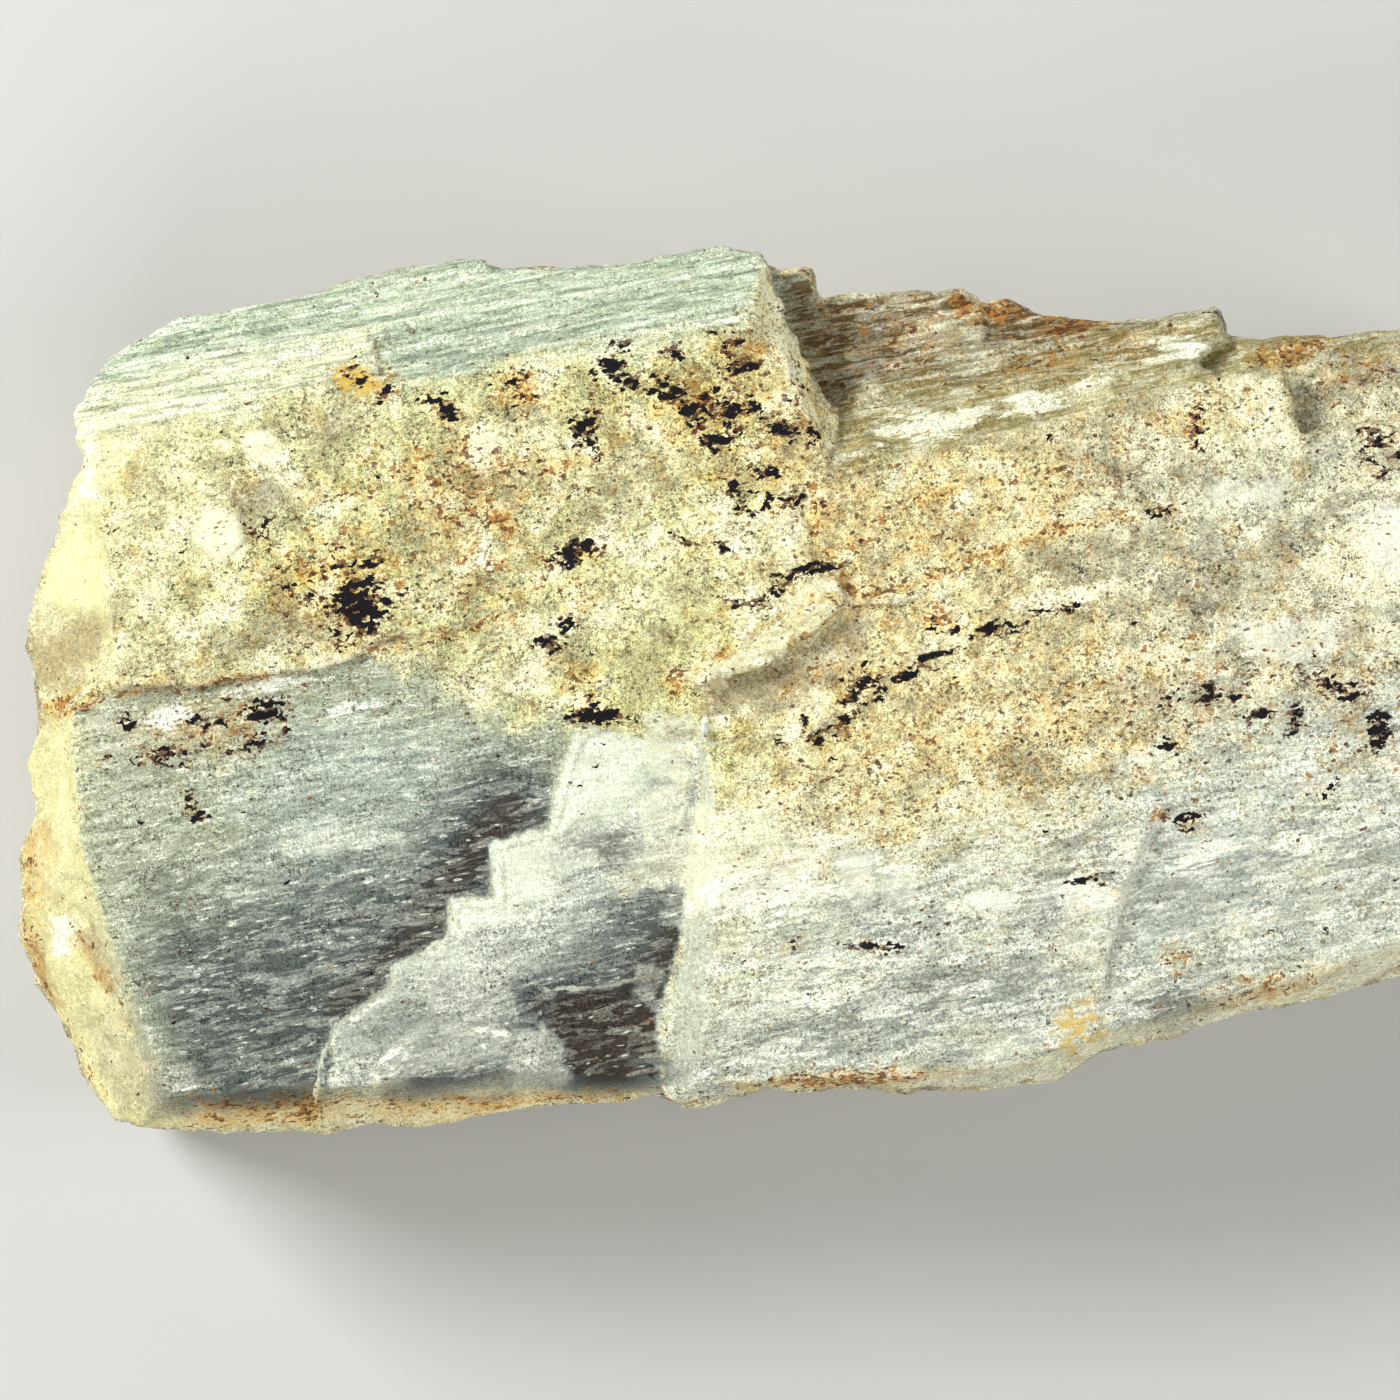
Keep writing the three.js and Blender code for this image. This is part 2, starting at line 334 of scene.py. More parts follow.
@dataclass(frozen=True)
class Sheet:
    """A thin sheet of mineral that stayed on a face."""

    region: Region
    height: float
    edge: float = 0.3

    def height_at(self, points: np.ndarray) -> np.ndarray:
        """Works out the sheet.

        Args:
            points: One row per point of the mesh.

        Returns:
            The height at each point.
        """
        wander = 0.5 * LatticeNoise(73).at(points / 1.8)
        return self.height * ease(self.region.reach(points) + wander, -self.edge, self.edge)


@dataclass(frozen=True)
class Blot:
    """A stain on the upper faces: an ellipse that fades out, turned from the x axis by degrees."""

    x: float
    y: float
    length: float
    width: float
    strength: float = 1.0
    turn: float = 11.0

    def cover(self, points: np.ndarray) -> np.ndarray:
        """Works out the stain.

        Args:
            points: One row per point of the mesh.

        Returns:
            The strength at each point.
        """
        cos, sin = math.cos(math.radians(self.turn)), math.sin(math.radians(self.turn))
        dx, dy = points[:, 0] - self.x, points[:, 1] - self.y
        along = (dx * cos + dy * sin) * 2.0 / self.length
        across = (dy * cos - dx * sin) * 2.0 / self.width
        return self.strength * np.exp(-0.5 * (along**2 + across**2))


@dataclass(frozen=True)
class Vein:
    """A stain along a line on the upper faces."""

    path: tuple[Plan, ...]
    width: float
    strength: float = 1.0

    def cover(self, points: np.ndarray) -> np.ndarray:
        """Works out the stain.

        Args:
            points: One row per point of the mesh.

        Returns:
            The strength at each point.
        """
        away = distance_to_path(points[:, :2], self.path) * 2.0 / self.width
        return self.strength * np.exp(-0.5 * away**2)


@dataclass(frozen=True)
class Fade:
    """A tone that deepens from a starting place along one direction, in degrees from the x axis."""

    x: float
    y: float
    turn: float
    length: float
    strength: float = 1.0

    def cover(self, points: np.ndarray) -> np.ndarray:
        """Works out the tone.

        Args:
            points: One row per point of the mesh.

        Returns:
            The strength at each point.
        """
        cos, sin = math.cos(math.radians(self.turn)), math.sin(math.radians(self.turn))
        run = (points[:, 0] - self.x) * cos + (points[:, 1] - self.y) * sin
        return self.strength * ease(run, 0.0, self.length)


@dataclass(frozen=True)
class Patch:
    """A part of the upper faces with a colour of its own.

    The grit is the share of grains that stay, clear the share of deep tone that goes, and sway how far the
    outline swings in broad bends.
    """

    outline: tuple[Plan, ...]
    colour: Colour
    strength: float = 1.0
    edge: float = 0.7
    grit: float = 1.0
    clear: float = 0.0
    sway: float = 0.0

    def cover(self, points: np.ndarray, wander: np.ndarray, bends: np.ndarray) -> np.ndarray:
        """Works out the patch.

        Args:
            points: One row per point of the mesh.
            wander: How far the outline wanders at each point.
            bends: How far its broad bends swing at each point.

        Returns:
            The strength at each point.
        """
        reach = Region(self.outline).reach(points) + wander + self.sway * bends
        return self.strength * ease(reach, -self.edge, self.edge)


Stain = Blot | Vein | Fade


def strongest(stains: tuple[Stain, ...], points: np.ndarray) -> np.ndarray:
    """Gives the strongest of several stains at each point."""
    return np.max([stain.cover(points) for stain in stains], axis=0)


@dataclass(frozen=True)
class FaceMap:
    """Tells the crystal's skins apart by where a point lies and which way the solid's face looks there."""

    fresh: Region = Region(
        (
            (-95, -3.4), (-79, -3.4), (-73, -0.4), (-53, 1.6), (-45.5, 4.2), (-42.2, 2.4), (-40.4, 1.4),
            (-37, -1.2), (-32, -3), (-25.5, -3.8), (-27.4, -9.9), (-28.2, -13.7), (-33.8, -15.3),
            (-33.6, -20.7), (-37.9, -20.9), (-38.1, -24.9), (-43.5, -27.4), (-44, -29.8), (-49.4, -33.5),
            (-51.7, -60), (-95, -60),
        )
    )
    terrace: Region = Region(
        (
            (-25.5, -3.6), (-27.4, -9.9), (-28.2, -13.7), (-33.8, -15.3), (-33.6, -20.7), (-37.9, -20.9),
            (-38.1, -24.9), (-43.5, -27.4), (-44, -29.8), (-49.4, -33.5), (-51.7, -60), (-16, -60),
            (-17.2, -33), (-14.6, -24), (-13, -12), (-12.8, -5), (-19, -4.6),
        )
    )
    block: Region = Region(
        (
            (-14, -18), (-8, -15.4), (0, -13.6), (6, -15), (14, -12.6), (22, -12), (30, -9), (38, -6),
            (46, -3), (57, -0.5), (95, 6), (95, -60), (-17, -60), (-17.2, -33),
        )
    )
    prism_band: Region = Region(
        (
            (-95, 24), (-75.5, 24.6), (-68, 26.6), (-60, 28.1), (-53, 29.6), (-48.5, 32.1), (-44.5, 30.6),
            (-39, 31.6), (-32, 32.9), (-21, 34.6), (-9, 36.6), (-7.5, 41), (0, 26), (1.8, 22.1), (7, 23.6),
            (13, 25.1), (23, 27.1), (28, 28.6), (37, 30.6), (45, 31.9), (95, 40), (95, 60), (-95, 60),
        )
    )
    stairs: Region = Region(
        (
            (-53, -38.5), (-46, -25), (-36, -11), (-28.5, -2.5), (-20, -2), (-11, -2.5), (-9.5, -15),
            (-12.5, -39.5), (-20, -40), (-40, -40),
        )
    )
    tail_step: Region = Region(
        (
            (25.4, -30.4), (26, -27), (28, -20), (30.6, -13), (33, -9), (35, -10), (33.6, -14), (31.4, -20),
            (29.4, -27), (28.8, -30.4),
        )
    )
    white_blocks: tuple[Region, ...] = (
        Region(((-28, -3), (-18, -4), (-14, -8), (-17, -12.5), (-22, -13.6), (-29, -14.6))),
        Region(((-35, -14.5), (-28, -13), (-26.5, -16.8), (-26.8, -18.9), (-28.6, -21), (-34.6, -22.6))),
        Region(((-39, -20), (-33.4, -20.6), (-29.2, -22.2), (-33, -23.6), (-39, -25.6))),
        Region(
            (
                (-41, -25), (-37, -25.2), (-35, -27), (-37, -29.6), (-41.6, -32.4), (-46.4, -36.4),
                (-49, -41), (-53, -41), (-52, -34), (-45, -28),
            )
        ),
    )
    white_strengths: tuple[float, ...] = (1.0, 1.0, 0.9, 0.35)
    splinter: Region = Region(
        ((-14, 0.1), (-9, 4.1), (-4, 7.1), (-3, 10.1), (0.8, 11.8), (1.6, 9.1), (0.5, 7.1), (-7, 2.3))
    )
    block_corner: Region = Region(((-17.8, -23), (-11, -23), (-10, -41), (-17.8, -41)))
    soft_edge: Region = Region(((-46, 9), (-46, -1), (-40, -6), (-26, -6), (-22, 2)))

    def skins(self, points: np.ndarray, normals: np.ndarray) -> Skins:
        """Works out the skins.

        Args:
            points: One row per point of the mesh.
            normals: The solid's face normal at each point.

        Returns:
            How much of each skin a point has, which adds up to 1.
        """
        ragged = 1.3 * LatticeNoise(5).at(points / 2.6) + 0.7 * LatticeNoise(6).at(points / 0.9)
        streaky = 2.2 * LatticeNoise(7).at(along_blades(points) / (6.0, 1.2, 1.2))
        blocky = 0.9 * LatticeNoise(8).at(along_blades(points) / (6.0, 1.0, 1.0)) + 0.3 * ragged
        side, back, up = normals.T
        level = ease(up, 0.85, 0.96)
        base = ease(-up, 0.8, 0.95)
        sloped = ease(back - np.abs(side), 0.2, 0.45) * ease(up, 0.15, 0.4) * (1.0 - level)
        band = ease(self.prism_band.reach(points) + 1.1 * ragged + 0.6 * streaky, -2.4, 1.6)
        steep = np.clip(1.0 - level - sloped - base, 0.0, 1.0) * ease(points[:, 2], 24.0, 28.0)
        shoulder_end = ease(side, 0.3, 0.6) * ease(-points[:, 0], -6.0, -4.0)
        prism = sloped + band * (level + steep * (1.0 - shoulder_end))
        blade = prism * ease(points[:, 0], -8.0, -2.0)
        level = level * (1.0 - band)
        steep = np.clip(1.0 - level - prism - base, 0.0, 1.0)
        stepped = np.maximum(self.stairs.reach(points), self.tail_step.reach(points))
        ledge = steep * ease(stepped, -0.5, 0.5) * ease(points[:, 2], 24.0, 28.0)
        rim = (steep - ledge) * ease(up, 0.1, 0.4)
        corner = rim * ease(self.block_corner.reach(points), -0.6, 0.6)
        end = (rim - corner) * ease(points[:, 1], 12.0, 18.0) * ease(points[:, 0], -20.0, -14.0)
        reach = self.fresh.reach(points)
        soft = ease(self.soft_edge.reach(points), 0.0, 2.0)
        fresh = level * ease((reach + (0.3 + 1.3 * soft) * ragged) / (0.5 + 1.6 * soft), -1.0, 1.0)
        stepped = (level - fresh) * ease(self.terrace.reach(points), -0.4, 0.4)
        whites = [
            strength * ease(region.reach(points) + blocky, -0.9, 0.9)
            for region, strength in zip(self.white_blocks, self.white_strengths)
        ]
        stair = stepped * np.max(whites, axis=0)
        inside = self.block.reach(points) + 1.6 * (ragged + streaky)
        proud = (level - fresh - stepped) * ease(self.splinter.reach(points) + 0.3 * ragged, -0.5, 0.5)
        block = (level - fresh - stepped - proud) * ease(inside, -4.0, 3.0) + proud
        return {
            Skin.CRUST: level - fresh - stepped - block,
            Skin.FRESH: fresh,
            Skin.TERRACE: stepped - stair,
            Skin.STAIR: stair,
            Skin.BLOCK: block + corner,
            Skin.PRISM: prism - blade,
            Skin.BLADE: blade,
            Skin.LEDGE: ledge,
            Skin.RIM: rim - corner - end,
            Skin.END: end,
            Skin.WALL: steep - ledge - rim,
            Skin.BASE: base,
        }


@dataclass(frozen=True)
class Relief:
    """The fine relief of each skin."""

    prism_ridges: Striations = Striations(run=26.0, spacing=1.7, height=0.42, seed=11)
    fresh_ridges: Striations = Striations(run=18.0, spacing=1.4, height=0.08, seed=13)
    wall_ridges: Striations = Striations(run=22.0, spacing=2.4, height=0.75, seed=15)
    blade_ridges: Striations = Striations(run=14.0, spacing=1.3, height=0.2, seed=17)
    prism_flakes: Flakes = Flakes(run=34.0, width=4.2, step=0.32, seed=21)
    blade_flakes: Flakes = Flakes(run=20.0, width=5.0, step=0.4, seed=35)
    fresh_flakes: Flakes = Flakes(run=18.0, width=3.6, step=0.07, seed=23)
    terrace_flakes: Flakes = Flakes(run=10.0, width=5.0, step=0.16, seed=25)
    block_flakes: Flakes = Flakes(run=12.0, width=3.6, step=0.2, seed=27)
    crust_flakes: Flakes = Flakes(run=9.0, width=5.0, step=0.16, seed=29)
    rim_flakes: Flakes = Flakes(run=12.0, width=8.0, step=0.3, seed=31)
    ledge_flakes: Flakes = Flakes(run=5.0, width=3.0, step=0.1, seed=33)
    crust_lumps: Grain = Grain(size=4.5, height=0.3, seed=41)
    crust_grain: Grain = Grain(size=1.3, height=0.26, seed=43)
    rim_grain: Grain = Grain(size=3.0, height=0.22, seed=44)
    broken_lumps: Grain = Grain(size=7.0, height=0.9, seed=45)
    broken_grain: Grain = Grain(size=2.2, height=0.4, seed=47)
    end_lumps: Grain = Grain(size=4.2, height=1.1, seed=48)
    seams: tuple[Seam, ...] = (
        Seam(((32.7, -12.9), (31.6, -15.6), (30.3, -21), (28, -25.9), (27.1, -28.5), (26.5, -34)), 0.6, 0.2),
        Seam(((2, 8.1), (10.4, 11.4), (21.5, 15.6), (29, 17.6)), 0.5, -0.22),
        Seam(((-2.4, 19.2), (-1.6, 15.5), (-1.0, 12.4)), 0.7, -0.6),
        Seam(((-60, 21.5), (-58.6, 17.6), (-57, 13.4)), 0.7, -0.5),
        Seam(((-74.2, 16.4), (-73.2, 12), (-72.4, 7.4), (-71.4, 3.4)), 0.8, -0.6),
        Seam(((-75.4, -22.4), (-73, -26), (-71, -30), (-69.4, -35)), 0.6, -0.3),
    )
    sheets: tuple[Sheet, ...] = (
        Sheet(
            Region(
                (
                    (-44, -38.8), (-42.4, -36.3), (-40, -33.9), (-37, -33.4), (-31.6, -34.2), (-32.2, -36.3),
                    (-35.2, -37.2), (-38.8, -38.1),
                )
            ),
            0.5,
        ),
        Sheet(
            Region(
                ((-36.4, -33), (-33.1, -30.7), (-29.2, -30), (-28.3, -32.7), (-28, -34.5), (-31.6, -33.6))
            ),
            0.4,
        ),
        Sheet(
            Region(((-58, -13.6), (-50, -12.8), (-42, -14), (-42.4, -16.2), (-52, -16.6), (-60, -16))), 0.16
        ),
        Sheet(Region(((-72.6, 3), (-68.4, 1.4), (-67, 3.6), (-69.4, 6.2), (-72, 6))), 0.4),
        Sheet(Region(((-63.4, 14), (-60.4, 12.8), (-58, 15), (-58.6, 18.4), (-61.8, 18.6))), 0.5),
    )

    def height_at(self, points: np.ndarray, skins: Skins) -> np.ndarray:
        """Adds the relief of the skins.

        Args:
            points: One row per point of the mesh.
            skins: How much of each skin a point has.

        Returns:
            How far each point moves out along its normal.
        """
        layers = {
            Skin.PRISM: (self.prism_ridges, self.prism_flakes),
            Skin.BLADE: (self.blade_ridges, self.blade_flakes, self.rim_grain),
            Skin.FRESH: (self.fresh_ridges, self.fresh_flakes),
            Skin.TERRACE: (self.fresh_ridges, self.terrace_flakes),
            Skin.STAIR: (self.fresh_ridges, self.terrace_flakes),
            Skin.BLOCK: (self.fresh_ridges, self.block_flakes),
            Skin.CRUST: (self.crust_lumps, self.crust_grain, self.crust_flakes),
            Skin.LEDGE: (self.ledge_flakes,),
            Skin.RIM: (self.rim_flakes, self.rim_grain),
            Skin.END: (self.end_lumps, self.broken_grain),
            Skin.WALL: (self.broken_lumps, self.broken_grain, self.wall_ridges),
        }
        height = np.zeros(len(points))
        for skin, parts in layers.items():
            height += skins[skin] * sum(part.height_at(points) for part in parts)
        upper = 1.0 - skins[Skin.WALL] - skins[Skin.BASE]
        for part in (*self.seams, *self.sheets):
            height += upper * part.height_at(points)
        return height


@dataclass(frozen=True)
class MineralTints:
    """Colours of the skins, in linear light."""

    crust: Colour = (0.685, 0.675, 0.325)
    crust_grey: Colour = (0.48, 0.455, 0.30)
    crust_right: Colour = (0.745, 0.675, 0.355)
    crust_far: Colour = (0.62, 0.63, 0.47)
    fresh: Colour = (0.375, 0.41, 0.28)
    terrace: Colour = (0.58, 0.62, 0.50)
    stair: Colour = (0.76, 0.82, 0.63)
    block: Colour = (0.61, 0.65, 0.52)
    block_cream: Colour = (0.80, 0.77, 0.48)
    prism_green: Colour = (0.52, 0.61, 0.42)
    prism_cream: Colour = (0.76, 0.77, 0.49)
    prism_brown: Colour = (0.17, 0.12, 0.045)
    prism_grey: Colour = (0.37, 0.31, 0.12)
    ledge: Colour = (0.56, 0.59, 0.45)
    tail_ledge: Colour = (0.90, 0.92, 0.76)
    rim_left: Colour = (0.70, 0.67, 0.35)
    # Cream of the lower broken rim, made paler than its own colour as painted light, since this rim faces
    # down and away from the lamps.
    rim_low_with_painted_light: Colour = (0.92, 0.82, 0.48)
    rim_top: Colour = (0.40, 0.40, 0.28)
    # Cream of the shoulder's broken end, made far paler than its own colour as painted light, since the end
    # faces away from the key lamp.
    broken_end_with_painted_light: Colour = (0.92, 0.86, 0.50)
    rim_block: Colour = (0.70, 0.69, 0.50)
    wall: Colour = (0.60, 0.55, 0.36)
    base: Colour = (0.54, 0.52, 0.38)
    grey_places: tuple[Stain, ...] = (
        Blot(-56.5, 19.5, 7.0, 5.0, 0.9, 20),
        Blot(-57.0, 5.0, 24.0, 4.6, 0.7, 8),
        Blot(-49.0, 26.6, 10.0, 4.0, 0.6),
        Blot(-36.6, 12.0, 8.0, 5.0, 0.6),
        Blot(-34.0, 19.0, 15.0, 12.0, 0.5, 30),
        Blot(-21.0, 20.0, 10.0, 6.0, 0.6, 30),
        Blot(-30.0, 2.0, 9.0, 3.6, 0.5),
        Blot(27.0, 12.6, 12.0, 5.0, 0.75),
        Blot(20.0, -7.6, 14.0, 4.0, 0.6),
        Blot(39.0, 9.4, 10.0, 5.0, 0.8),
        Blot(46.0, 13.6, 7.0, 5.0, 0.8),
        Blot(51.0, 28.0, 14.0, 6.0, 0.6),
    )
    pale_places: tuple[Stain, ...] = (
        Blot(-71.5, 23.0, 5.0, 6.0, 0.8, 70),
        Blot(-67.5, 14.0, 5.0, 12.0, 0.5, -10),
        Blot(-30.6, 25.6, 7.0, 4.4, 0.8),
        Blot(-17.4, 24.4, 6.0, 4.0, 0.7),
        Blot(-31.0, 6.0, 7.0, 3.0, 0.6),
        Blot(-20.0, 9.0, 9.0, 4.0, 0.6),
        Blot(-36.0, -0.4, 8.0, 3.0, 0.8),
        Blot(5.4, 12.0, 11.0, 3.0, 0.7, 20),
        Blot(17.0, 2.0, 9.0, 3.6, 0.5),
        Blot(-6.0, -11.0, 9.0, 5.0, 0.8),
    )
    crust_pale: Colour = (0.86, 0.83, 0.50)
    cream_places: tuple[Stain, ...] = (
        Vein(((-13, -4), (-13.5, -16), (-15, -23)), 14.0, 0.9),
        Vein(((-12, 1), (-4, 6.4), (0, 10)), 8.0, 1.0),
        Vein(((-14, -15), (6, -12), (20, -11)), 9.0, 0.9),
    )

    def mixed(self, points: np.ndarray, skins: Skins) -> np.ndarray:
        """Mixes the skins' colours.

        Args:
            points: One row per point of the mesh.
            skins: How much of each skin a point has.

        Returns:
            One row of red, green and blue per point.
        """
        x, y, z = points.T
        cloud = LatticeNoise(51).at(points / 9.0) + 0.5 * LatticeNoise(52).at(points / 3.0)
        crust = blended(self.crust, self.crust_right, ease(x, -14.0, 0.0))
        crust = blended(crust, self.crust_far, 0.85 * ease(x + 4.0 * cloud, 18.0, 40.0))
        grey = np.maximum(0.5 * ease(cloud, 0.1, 0.9), strongest(self.grey_places, points))
        crust = blended(crust, self.crust_grey, grey)
        crust = blended(crust, self.crust_pale, strongest(self.pale_places, points))
        cream = ease(z + 0.8 * cloud, 32.5, 36.5) * ease(-x, 43.0, 47.0)
        prism_left = blended(self.prism_green, self.prism_cream, cream)
        prism_right = blended(self.prism_brown, self.prism_grey, ease(z + 0.08 * x + cloud, 32.0, 38.0))
        # The lower rim's colour carries painted light; towards the left end it gives way to the left rim's
        # own cream.
        rim = blended(self.rim_low_with_painted_light, self.rim_left, ease(-x, 62.0, 71.0))
        rim = blended(rim, self.rim_block, ease(x, -18.0, -15.0))
        low = ease(-y, 20.0, 30.0) * ease(-x, 14.0, 18.0)
        rim = blended(rim, self.rim_top, low * ease(z + 1.6 * cloud, 29.5, 33.5))
        colours = {
            Skin.CRUST: crust,
            Skin.FRESH: self.fresh,
            Skin.TERRACE: self.terrace,
            Skin.STAIR: self.stair,
            Skin.BLOCK: blended(self.block, self.block_cream, strongest(self.cream_places, points)),
            Skin.PRISM: prism_left,
            Skin.BLADE: prism_right,
            Skin.LEDGE: blended(self.ledge, self.tail_ledge, ease(x, 16.0, 20.0)),
            Skin.RIM: rim,
            # The broken end's colour carries painted light.
            Skin.END: self.broken_end_with_painted_light,
            Skin.WALL: self.wall,
            Skin.BASE: self.base,
        }
        return sum(skins[skin][:, None] * np.asarray(colour) for skin, colour in colours.items())


